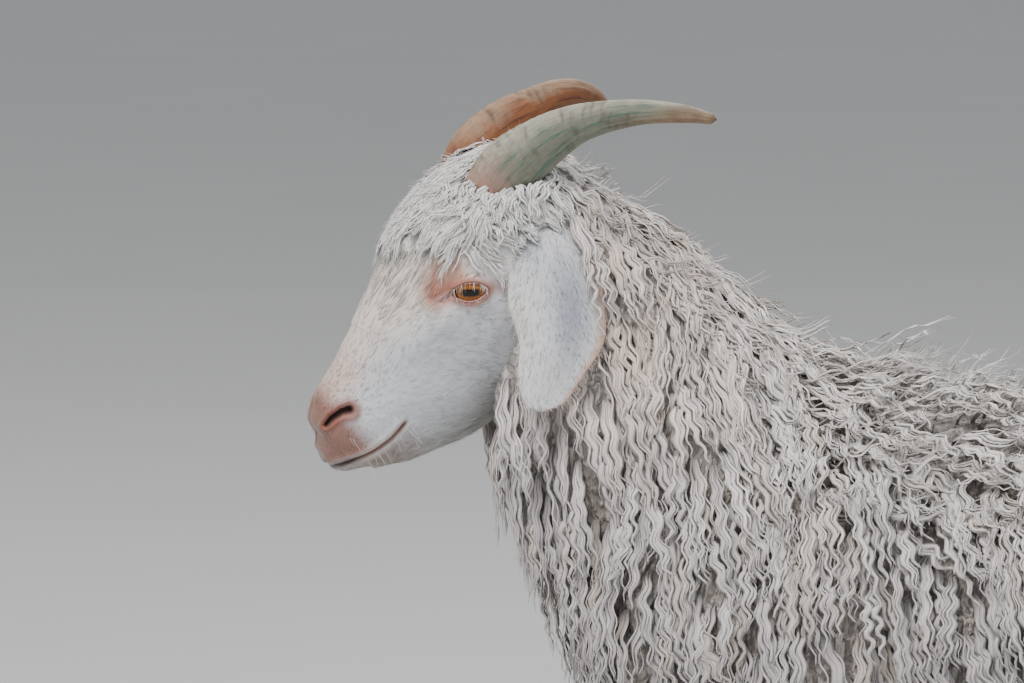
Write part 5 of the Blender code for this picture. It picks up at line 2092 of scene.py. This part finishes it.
@dataclass
class Fleece:
    """The wool of the neck, the trunk, the upper legs, the tail and the poll."""

    chance: np.random.Generator
    unwrap: Unwrap
    clear: Array
    tree: BVHTree | None = None
    voxel: float = 0.0078
    lowest: float = 0.004
    def underwool_rings(self, name: str) -> Array:
        """One body part's rings of close wool.

        Args:
            name: The part, as in CELLS.

        Returns:
            The rings.
        """
        turns = around(64)
        full, sunk = (body_loft(name, share).grid(60, turns) for share in (UNDERWOOL_SHARE, -0.2))
        if name in LEGS:
            cut = KNEE_CUT if name.startswith("fore") else HOCK_CUT
            share = ease(full[..., 2:], cut + 0.004, cut + 0.035)
            return toward(sunk, full, share)[full[:, 0, 2] > cut]
        if name == "head":
            bare = body_loft(name, 0.0).grid(60, turns)
            sunk = toward(bare, bare.mean(1, keepdims=True), 0.22)
            above = np.sin(turns)[None]
            fringe = 0.03 * ease(above, 0.8, 0.97)
            top = ease(full[..., 0] + fringe, -0.08, -0.045) * ease(above, 0.3, 0.7)
            back = ease(full[..., 0], 0.012, 0.026) * ease(above, -0.3, 0.1)
            return to_world(toward(sunk, full, np.maximum(top, back)[..., None])[full[:, 0, 0] > -0.1])
        return full

    def underwool(self) -> Mesh:
        """The close wool under the locks, as one soft surface that sinks into the skin at its ends."""
        everything = bpy.data.meshes.new("underwool")
        shape = bmesh.new()
        for name in ("trunk", "neck", "tail", "head", *LEGS):
            shape.from_mesh(swept(self.underwool_rings(name)).mesh("part"))
        shape.to_mesh(everything)
        shape.free()
        obj = linked("underwool", everything)
        remesh = obj.modifiers.new("remesh", "REMESH")
        remesh.mode, remesh.voxel_size = "VOXEL", self.voxel
        smooth = obj.modifiers.new("smooth", "SMOOTH")
        smooth.factor, smooth.iterations = 0.5, 6
        mesh = evaluated(obj)
        bpy.data.objects.remove(obj)
        self.unwrap.cover(mesh)
        points = mesh_arrays(mesh)[0]
        poll = to_head(points)
        # painted shade: the underwool is dark grey-brown as the shade between the locks, lighter towards the
        # rear; painted light makes it lighter on top; it is pale under the poll's white wool
        paint_points(mesh, "Coat", layered(np.tile((0.56, 0.5, 0.46), (len(points), 1)), (
            (ease(points[:, 0], -0.02, 0.08), (0.78, 0.73, 0.69)),
            (ease(points[:, 2], 0.57, 0.64), (0.88, 0.82, 0.77)),
            (ease(poll[:, 0], 0.045, 0.03) * ease(poll[:, 2], 0.02, 0.035), (0.86, 0.83, 0.79)),
        )))
        mesh.shade_smooth()
        return mesh

    def grow(self, roots: Array, normals: Array, wool: Wool) -> Strands:
        """Combs, gathers and waves the locks of some roots.

        Args:
            roots: Where they start.
            normals: The surface's normals there.
            wool: How they grow.

        Returns:
            Their strands.
        """
        owner = np.zeros(len(roots), int)
        if wool.clump > 0:
            chosen = KDTree(len(roots))
            for k in range(0, len(roots), 3):
                chosen.insert(roots[k].tolist(), k)
            chosen.balance()
            owner = np.array([chosen.find(root)[1] for root in roots.tolist()])
        guides, lies = self.comb(roots, normals, wool)
        pull = wool.clump * ease(np.linspace(0.0, 1.0, guides.shape[1]), 0.05, 0.95)[None, :, None]
        return self.locks(toward(guides, guides[owner], pull), lies, owner, wool)

    def comb(self, roots: Array, normals: Array, wool: Wool) -> tuple[Array, Array]:
        """Leads one guide from each root over the surface.

        Args:
            roots: Where the guides start.
            normals: The surface's normals there.
            wool: How they grow.

        Returns:
            The guides' points and the normals along them.
        """
        count, chance = len(roots), self.chance
        long = wool.long * chance.uniform(0.72, 1.18, (count, 1))
        layer = chance.uniform(0.15, 1.0, (count, 1)) ** 0.8
        step = long / wool.rings
        back, out, down = wool.hang
        lean = chance.normal(0.0, 0.13, (count, 1))
        x = roots[:, :1]
        crest = 0.3 + 1.3 * ease(x, -0.165, -0.13) - 0.5 * ease(x, -0.11, -0.07)
        deep = wool.lift * (1.0 + (crest - 1.0) * ease(normals[:, 2:], 0.15, 0.55))
        place, normal = roots.copy(), normals.copy()
        flat = normal * (1.0, 1.0, 0.0)
        flat = flat / np.maximum(np.linalg.norm(flat, axis=1, keepdims=True), 0.25)
        aim = unit(np.array((back, 0.0, down)) + flat * out + np.array((1.0, 0.0, 0.0)) * lean)
        heading = unit(normal * wool.rise + aim)
        path, faces = [place - normal * 0.008], [normal]
        for k in range(1, wool.rings + 1):
            share = k / wool.rings
            free = ease(-normal[:, 2:], 0.1, 0.55)
            along = aim - normal * dots(aim, normal) * (0.9 * (1 - free))
            heading = unit(heading * (1 - wool.drag) + unit(along) * wool.drag)
            place = place + heading * step
            foot, fresh = nearest(self.tree, place)
            height = dots(place - foot, fresh)
            fresh = np.where(np.abs(height) > 0.03, normal, fresh)
            normal = unit(normal * 0.6 + fresh * 0.4)
            want = deep * (0.25 + 0.75 * layer) * ease(share, -0.15, 0.45)
            gap = want - height
            place = place + normal * np.where(gap > 0, gap * 0.5, gap * 0.22 * (1 - free))
            place = self.aside(place)
            path.append(place)
            faces.append(normal)
        return np.stack(path, 1), np.stack(faces, 1)

    def aside(self, place: Array) -> Array:
        """Points pushed clear of the horns and the ears.

        Args:
            place: The points.

        Returns:
            The moved points.
        """
        for centre in self.clear:
            away = place - centre[:3]
            size = np.linalg.norm(away, axis=1, keepdims=True)
            short = np.maximum(centre[3] + 0.0015 - size, 0.0)
            place = place + away / np.maximum(size, 1e-6) * short
        return place

    def locks(self, guides: Array, normals: Array, owner: Array, wool: Wool) -> Strands:
        """Waves each guide and splits it into strands.

        Args:
            guides: The guides' points.
            normals: The normals along them.
            owner: The guide that each one is gathered to.
            wool: How they wave.

        Returns:
            The strands.
        """
        count, size = guides.shape[:2]
        chance = self.chance
        share = np.linspace(0.0, 1.0, size)[None, :, None]
        length = np.linalg.norm(np.diff(guides, axis=1), axis=2).sum(1)[:, None, None]
        tangent = unit(np.gradient(guides, axis=1))
        across = unit(np.cross(tangent, normals))
        start = chance.uniform(0.0, TAU, (count, 1, 1))[owner] + chance.normal(0.0, 0.5, (count, 1, 1))
        crimp = wool.crimp * chance.uniform(0.8, 1.3, (count, 1, 1))[owner]
        size_wave = wool.wave * chance.uniform(0.55, 1.25, (count, 1, 1))
        grow = ease(share, 0.02, 0.35)
        bend = chance.normal(0.0, 1.0, (count, 1, 1)) * wool.curl * share**2.5
        lifted = chance.uniform(-0.2, 1.0, (count, 1, 1)) * wool.curl * ease(share, 0.72, 1.0) ** 2
        mark = self.unwrap.find(guides[:, 0])[0]
        colour = self.tone(guides[:, 0], normals[:, 0], wool.soft)
        drift = 0.9 * np.sin(share * 4.0 + chance.uniform(0.0, TAU, (count, 1, 1)))
        spread = 0.45 + 0.55 * ease(share, 0.0, 0.3) - 0.2 * ease(share, 0.6, 1.0)
        made = []
        for j in range(wool.strands):
            reach = chance.uniform(0.74, 1.0, (count, 1)) if j else np.ones((count, 1))
            at = reach * np.arange(size)
            low = np.minimum(at.astype(int), size - 2)
            part = (at - low)[..., None]
            row = np.arange(count)[:, None]
            base = guides[row, low] * (1 - part) + guides[row, low + 1] * part
            thin = float(j > 1)
            offset = wool.width * (chance.uniform(-0.6, 0.6, (count, 1, 1)) if thin else 0.26 - 0.52 * j)
            apart = chance.normal(0.0, 0.4, (count, 1, 1)) * wool.loose * min(j, 1)
            stray = chance.normal(0.0, 0.25 + 0.25 * thin, (count, 1, 1)) * wool.width * wool.loose * share
            over = chance.uniform(0.0, 0.12 + 0.2 * thin, (count, 1, 1)) * wool.width
            phase = share * reach[..., None] * length / crimp * TAU + start + drift + apart
            side = offset * spread + np.sin(phase) * size_wave * grow + bend + stray
            rise = np.cos(phase * 0.97) * size_wave * 0.45 * grow + lifted + over
            path = base + across * side + normals * rise
            path[..., 2] = np.maximum(path[..., 2], self.lowest)
            width = wool.width * chance.uniform(*((0.13, 0.27) if thin else (0.42, 0.72)), count)
            light = chance.uniform(0.84 + 0.1 * thin, 1.0 + 0.06 * thin, (count, 1))
            made.append((path, normals, width, colour * light, mark, np.full(count, 0.34 + 0.26 * thin)))
        return Strands(*(np.concatenate(part) for part in zip(*made)))

    def tone(self, roots: Array, normals: Array, soft: bool) -> Array:
        """The wool's colour: cream on top and cooler and darker lower down, as painted light and shade, some
        locks tanned, and white on the poll.

        Args:
            roots: Where the locks start.
            normals: The surface's normals there.
            soft: Whether this is the poll's soft wool.

        Returns:
            One colour for each lock.
        """
        count, chance = len(roots), self.chance
        if soft:
            return np.array((0.985, 0.965, 0.94)) * chance.uniform(0.93, 1.03, (count, 1))
        tan = (chance.random(count) < 0.22) * chance.uniform(0.3, 0.9, count)
        off_ear = np.linalg.norm(roots - (-0.275, -0.06, 0.7), axis=1)
        colour = layered(np.tile((0.87, 0.81, 0.79), (count, 1)), (
            # painted light: the more a lock faces up and the higher it grows, the lighter cream it is
            (ease(normals[:, 2] + roots[:, 2] * 0.6, 0.35, 1.25), (1.0, 0.935, 0.885)),
            (tan, (0.86, 0.74, 0.65)),
            (bell(off_ear, 0.0, 0.06) * 0.6, (0.86, 0.68, 0.55)),
        ))
        # painted shade: the lower locks are darker
        painted_shade = 0.58 + 0.42 * ease(roots[:, 2:], 0.42, 0.63)
        return colour * painted_shade * chance.uniform(0.86, 1.05, (count, 1))

@dataclass
class ShortHair:
    """The short hair of the face, the ears and the lower legs, in tufts that follow its lie."""

    chance: np.random.Generator
    face: Face

    def tufts(
        self, roots: Array, normals: Array, flow: Array, long: Array, width: Array, rise: float,
        colours: Array, marks: Array,
    ) -> Strands:
        """Lays one small tuft from each root.

        Args:
            roots: Where they start.
            normals: The skin's normals there.
            flow: The way each tuft lies.
            long: Their lengths.
            width: Their widths.
            rise: How much they stand up, as a share of their length.
            colours: Their colours.
            marks: Their roots' places on the coat's map.

        Returns:
            The tufts.
        """
        count = len(roots)
        flow = flow + self.chance.normal(0.0, 0.14, (count, 3))
        flow = unit(flow - normals * dots(flow, normals))
        lift = rise * self.chance.uniform(0.5, 1.5, (count, 1))
        long = long[:, None]
        middle = roots + flow * long * 0.5 + normals * long * lift * 0.8
        tip = roots + flow * long + normals * long * lift * 0.9
        paths = np.stack([roots - normals * 0.0004, middle, tip], 1)
        faces = np.repeat(normals[:, None], 3, 1)
        return Strands(paths, faces, width, colours, marks, np.full(count, 0.26), 0.9)

    def flow(self, p: Array) -> Array:
        """The way the hair lies at points of the head's frame, in the goat's.

        Args:
            p: Points of the head's frame.

        Returns:
            One way for each point.
        """
        cheek = ease(p[:, 2:], 0.018, -0.018) * ease(p[:, :1], -0.165, -0.115)
        way = toward(np.array((1.0, 0.0, 0.12)), (0.66, 0.0, -0.75), cheek)
        way = toward(way, (0.95, 0.0, -0.25), ease(p[:, 2:], -0.035, -0.06))
        for socket in self.face.sockets():
            offset = p - socket.centre()
            way = way + unit(offset) * bell(np.linalg.norm(offset, axis=1, keepdims=True), 0.0, 0.022) * 0.9
        x, z = p[:, 0], p[:, 2]
        way[:, 2] += 0.16 * np.sin(x * 95.0 + z * 60.0) + 0.1 * np.sin(z * 150.0 - x * 40.0)
        return way @ HEAD_PLACE[:3, :3].T

    def on_head(self, points: Array, tris: Array, count: int) -> Strands:
        """The tufts of the face, longest behind the jaw and smallest on the muzzle.

        Args:
            points: The skin's points.
            tris: Its triangles.
            count: How many tufts to grow.

        Returns:
            The tufts.
        """
        middle = to_head(points[tris].mean(1))
        x, z = middle[:, 0], middle[:, 2]
        weight = (x < 0.035) * (1 - self.face.bare(middle)) * (to_world(middle)[:, 2] > 0.5)
        weight = weight * (0.8 + 1.6 * ease(x, -0.13, -0.18)) * (1 - 0.7 * ease(x, -0.02, 0.02))
        weight = weight * (1 - 0.8 * ease(z, 0.045, 0.058) * ease(x, -0.04, -0.02))
        roots, normals = scattered(points, tris, weight, count, self.chance)
        p = to_head(roots)
        x, z = p[:, 0], p[:, 2]
        long = 0.003 + 0.0042 * ease(x, -0.18, -0.12) + 0.0045 * ease(x, -0.075, -0.02)
        long = long + 0.003 * ease(z, -0.03, -0.055)
        long = long + 0.0115 * ease(z, 0.022, 0.046) * ease(x, -0.135, -0.085)
        for socket in self.face.sockets():
            long = long * (1 - 0.55 * bell(np.linalg.norm(p - socket.centre(), axis=1), 0.0, 0.02))
        long = long * self.chance.uniform(0.7, 1.3, count)
        width = 0.00038 + 0.00022 * ease(x, -0.16, -0.06) + 0.0002 * ease(z, 0.026, 0.048)
        width = width * self.chance.uniform(0.7, 1.3, count)
        # the tufts take the face's colours, its painted shade and light included
        colours = self.face.colour(p) * self.chance.uniform(0.9, 1.06, (count, 1))
        turn = ((np.arctan2(z, p[:, 1]) + math.pi / 2) / TAU) % 1.0
        marks = CELLS["head"].at(np.clip((x + 0.1985) / 0.2485, 0.0, 1.0), turn)
        return self.tufts(roots, normals, self.flow(p), long, width, 0.09, colours, marks)

    def on_ear(self, ear: Ear, count: int) -> Strands:
        """The velvet of one ear, lying down its length, a little longer at its edges.

        Args:
            ear: The ear.
            count: How many tufts to grow.

        Returns:
            The tufts.
        """
        made = ear.build()
        tris = np.concatenate([made.quads[:, :3], made.quads[:, [0, 2, 3]]])
        grain = made.painted["Grain"][tris].mean(1)
        inside = grain[:, 2] > 0.25
        weight = np.where(inside, 0.35, 1.0) * ease(grain[:, 0], 0.002, 0.01)
        pick, corners, normals = picked(made.points, tris, weight, count, self.chance)
        roots = corners.sum(1) / 3 + self.chance.normal(0.0, 0.0006, (count, 3))
        long_share, wide_share = grain[pick, 0] / 0.13, grain[pick, 1] / 0.03
        edge = ease(np.abs(wide_share), 0.75, 1.0)
        flow = np.tile((0.1, 0.0, -1.0), (count, 1))
        flow[:, 0] += wide_share * 0.45
        long = 0.0042 + 0.0018 * edge + 0.004 * ease(long_share, 0.2, 0.0)
        long = long * self.chance.uniform(0.7, 1.3, count)
        # the tufts take the ear's colours, its painted shade included
        colours = ear.colour(long_share, wide_share, inside[pick])
        colours = colours * self.chance.uniform(0.9, 1.08, (count, 1))
        marks = made.maps["OFBake"][tris[pick, 0]]
        width = 0.00042 * self.chance.uniform(0.7, 1.3, count)
        return self.tufts(roots, normals, flow, long, width, 0.07, colours, marks)

    def on_legs(self, points: Array, tris: Array, unwrap: Unwrap, count: int) -> Strands:
        """The hair of the cannons and pasterns, lying downwards.

        Args:
            points: The skin's points.
            tris: Its triangles.
            unwrap: Finds places on the coat's map.
            count: How many tufts to grow.

        Returns:
            The tufts.
        """
        z = points[tris].mean(1)[:, 2]
        weight = ease(z, 0.25, 0.22) * (z > 0.026) * (1.0 + 4.0 * ease(z, 0.058, 0.044))
        roots, normals = scattered(points, tris, weight, count, self.chance)
        z = roots[:, 2]
        flow = np.tile((0.05, 0.0, -1.0), (count, 1))
        long = 0.0065 + 0.004 * ease(z, 0.15, 0.2) + 0.009 * ease(z, 0.06, 0.04)
        long = long * self.chance.uniform(0.7, 1.3, count)
        colours = np.array(CANNON_COLOUR) * self.chance.uniform(0.94, 1.05, (count, 1))
        width = (0.0008 + 0.0004 * ease(z, 0.06, 0.04)) * self.chance.uniform(0.7, 1.3, count)
        made = self.tufts(roots, normals, flow, long, width, 0.13, colours, unwrap.find(roots)[0])
        made.paths[..., 2] = np.maximum(made.paths[..., 2], 0.012)
        return made


@dataclass
class Studio:
    """The pale floor, the soft lights and the camera."""

    target: Triple = (-0.342, 0.0, 0.666)
    rise: float = 5.0
    distance: float = 9.0
    lens: float = 474.0
    floor_size: float = 60.0

    def build(self) -> None:
        """Sets up the floor, the lights, the world and the camera."""
        self.floor()
        self.light("key", (-1.9, -3.2, 6.2), 3.8, 530.0, (1.0, 0.97, 0.94))
        self.light("fill", (3.4, -4.6, 2.4), 4.5, 60.0, (0.93, 0.96, 1.0))
        self.light("rim", (1.4, 3.4, 5.2), 3.6, 210.0, (0.97, 0.98, 1.0))
        world = bpy.data.worlds.new("studio")
        world.use_nodes = True
        background = world.node_tree.nodes["Background"]
        background.inputs["Color"].default_value = (0.9, 0.92, 0.96, 1.0)
        background.inputs["Strength"].default_value = 0.54
        bpy.context.scene.world = world
        bpy.context.scene.camera = self.camera()

    def floor(self) -> None:
        """The plain pale floor."""
        half = self.floor_size
        mesh = bpy.data.meshes.new("floor")
        corners = [(-half, -half, 0.0), (half, -half, 0.0), (half, half, 0.0), (-half, half, 0.0)]
        mesh.from_pydata(corners, [], [(0, 1, 2, 3)])
        paint = Paint("floor")
        grain = paint.noise(paint.place(), 3.0)
        colour = paint.lay((0.54, 0.54, 0.53), (grain, (0.58, 0.58, 0.57)))
        mesh.materials.append(paint.finish({"Base Color": colour, "Roughness": 0.9}))
        linked("floor", mesh)

    def light(self, name: str, at: Triple, size: float, power: float, colour: Triple) -> None:
        """One soft light aimed at the goat's shoulders.

        Args:
            name: The light's name.
            at: Where it is.
            size: How wide it is, in metres.
            power: Its power in watts.
            colour: Its colour.
        """
        lamp = bpy.data.lights.new(name, "AREA")
        lamp.shape, lamp.size, lamp.energy, lamp.color = "DISK", size, power, colour
        obj = linked(name, lamp)
        obj.location = at
        obj.rotation_euler = (Vector((-0.1, 0.0, 0.45)) - Vector(at)).to_track_quat("-Z", "Y").to_euler()

    def camera(self) -> Object:
        """The camera at the photograph's angle, looking along +Y and a little down."""
        slope = math.radians(self.rise)
        away = Vector((0.0, -math.cos(slope), math.sin(slope)))
        data = bpy.data.cameras.new("camera")
        data.lens, data.sensor_width = self.lens, 36.0
        data.clip_start, data.clip_end = 0.1, 200.0
        obj = linked("camera", data)
        obj.location = Vector(self.target) + away * self.distance
        obj.rotation_euler = (-away).to_track_quat("-Z", "Y").to_euler()
        return obj


# How far inside a horn or an ear a lock's root may lie before the lock is left out
DEEPEST_ROOT = 0.0045


def dress_fleece(points: Array, tris: Array, clear: Array) -> None:
    """Grows the underwool and the fleece, and shows them as pieces.

    Args:
        points: The skin's points.
        tris: Its triangles.
        clear: Places with radii that the wool keeps out of.
    """
    chance = np.random.default_rng(23)
    unwrap = Unwrap()
    fleece = Fleece(chance, unwrap, clear)
    under = fleece.underwool()
    base, faces = mesh_arrays(under)
    fleece.tree = search_tree(np.concatenate([base, points]), np.concatenate([faces, tris + len(base)]))
    add_piece("underwool", under, UnderwoolFinish().material(), "fleece")
    middle = base[faces].mean(1)
    up = unit(np.cross(base[faces[:, 1]] - base[faces[:, 0]], base[faces[:, 2]] - base[faces[:, 0]]))[:, 2]
    p = to_head(middle)
    head = swept(to_world(body_loft("head", 0.0).grid(60, circle(48))))
    surface = BVHTree.FromPolygons(head.points.tolist(), head.quads.tolist() + head.tris.tolist())
    foot, out = nearest(surface, middle)
    off_head = dots(middle - foot, out)[:, 0]
    poll = (p[:, 0] < 0.032) & (p[:, 2] > 0.02)
    legs = middle[:, 2] < 0.335
    tail = (middle[:, 0] > 0.415) & (middle[:, 2] > 0.57)
    body = ((off_head > 0.0015) | (p[:, 0] > 0.016)) & ~poll & ~legs & ~tail
    front, rear = body & (middle[:, 0] < 0.02), body & ~(middle[:, 0] < 0.02)
    spine = rear & (np.abs(middle[:, 1]) < 0.024) & (up > 0.8)
    hairline = -0.038 - 0.022 * (np.abs(p[:, 1]) < 0.02)
    brow = (p[:, 0] < 0.032) & (p[:, 0] > hairline) & (p[:, 2] > 0.045)
    temple = (p[:, 0] > -0.04) & poll & (p[:, 2] < 0.05)
    bases = np.concatenate([Horn(side).keep_out().reshape(3, -1, 4)[:, 1:8].reshape(-1, 4) for side in Side])
    off_horn = np.min([np.linalg.norm(middle - root[:3], axis=1) - root[3] for root in bases], 0)
    fields = (
        ("neck_locks", SIDE_WOOL, front & (up < 0.8), 1010, 0.0094),
        ("nape_curls", TOP_WOOL, front & (up > 0.45), 325, 0.0094),
        ("flank_locks", REAR_WOOL, rear & (up < 0.8), 700, 0.018),
        ("back_curls", REAR_TOP_WOOL, rear & (up > 0.6), 260, 0.0145),
        ("spine_curls", SPINE_WOOL, spine, 60, 0.013),
        ("leg_locks", LEG_WOOL, legs & (middle[:, 2] > 0.19), 560, 0.011),
        ("tail_locks", TAIL_WOOL, tail, 80, 0.009),
        ("wisps", WISPS, body & (up > 0.5), 520, 0.0),
        ("forelock", FORELOCK_WOOL, brow, 345, 0.0036),
        ("horn_collar", COLLAR_WOOL, off_horn < 0.009, 170, 0.0026),
        ("temple_wool", TEMPLE_WOOL, temple, 170, 0.0036),
    )
    mohair = HairFinish("mohair").material()
    silk = HairFinish("poll_wool", root=0.84, streak=0.24, relief=0.0001).material()
    for name, wool, where, count, apart in fields:
        tries = count * 5 if apart else count
        roots, normals = scattered(base, faces, where.astype(float), tries, chance, apart)
        free = np.linalg.norm(fleece.aside(roots) - roots, axis=1) < DEEPEST_ROOT
        strands = fleece.grow(roots[free][:count], normals[free][:count], wool)
        for k, part in enumerate(strands.pieces()):
            add_piece(f"{name}_{k + 1}", part.build().mesh(name), silk if wool.soft else mohair, "fleece")
    hair = ShortHair(np.random.default_rng(31), Face())
    coats = {"face_hair": hair.on_head(points, tris, 13600)}
    for side in Side:
        coats[f"ear_velvet_{side.name.lower()}"] = hair.on_ear(Ear(side), 2400)
    coats["cannon_hair"] = hair.on_legs(points, tris, unwrap, 5400)
    fine = HairFinish("short_hair_tufts", root=0.95, streak=0.08, fibres=2.0, relief=0.0).material()
    for name, strands in coats.items():
        add_piece(name, strands.build().mesh(name), fine, "short_hair")


def main() -> None:
    """Builds the goat piece by piece and sets the stage."""
    Studio().build()
    mesh = Skin().build()
    points, tris = mesh_arrays(mesh)
    legs = (f"{leg}_{part}" for leg, part in product(LEGS, ("leg", "cannon")))
    add_piece("skin", mesh, SkinFinish().material(), "short_hair", "head", "neck", "torso", "tail", *legs)
    wet = EyeFinish().material()
    rim = PlainFinish("lid_rim", (0.16, 0.065, 0.055), (0.42, 0.2, 0.17), 700.0, 0.35, 0.0002, 0.4).material()
    lash = PlainFinish("lash_hair", (0.82, 0.78, 0.72), (0.7, 0.64, 0.56), 300.0).material()
    chance = np.random.default_rng(41)
    for side in Side:
        name = side.name.lower()
        eye = Eye(side)
        add_piece(f"eyeball_{name}", eye.ball(), wet, "eye", f"eye_{name}")
        add_piece(f"lid_rim_{name}", eye.rim(rim), rim, "short_hair")
        add_piece(f"tear_corner_{name}", eye.tear(), rim, "short_hair")
        add_piece(f"lashes_{name}", eye.lashes(lash, chance), lash, "short_hair")
        velvet = SkinFinish("ear_velvet").material()
        add_piece(f"ear_skin_{name}", Ear(side).build().mesh("ear"), velvet, "short_hair", f"ear_{name}")
    for side, finish, slot in ((Side.LEFT, GREY_HORN, "horn_grey"), (Side.RIGHT, TAN_HORN, "horn_tan")):
        name = f"horn_{side.name.lower()}"
        add_piece(f"ridged_{name}", Horn(side).mesh(), finish.material(), slot, name)
    clear = np.concatenate([shape.keep_out() for side in Side for shape in (Horn(side), Ear(side))])
    dress_fleece(points, tris, clear)
    whiskers = Whiskers().build(search_tree(points, tris), lash, chance)
    add_piece("whiskers", whiskers, lash, "short_hair")
    hoof = HoofFinish().material()
    for leg, which in product(LEGS, ("outer", "inner")):
        claw = Claw(leg, which == "inner").mesh()
        add_piece(f"{leg}_hoof_{which}", claw, hoof, "hoof", f"{leg}_claw_{which}")


if __name__ == "__main__":
    main()
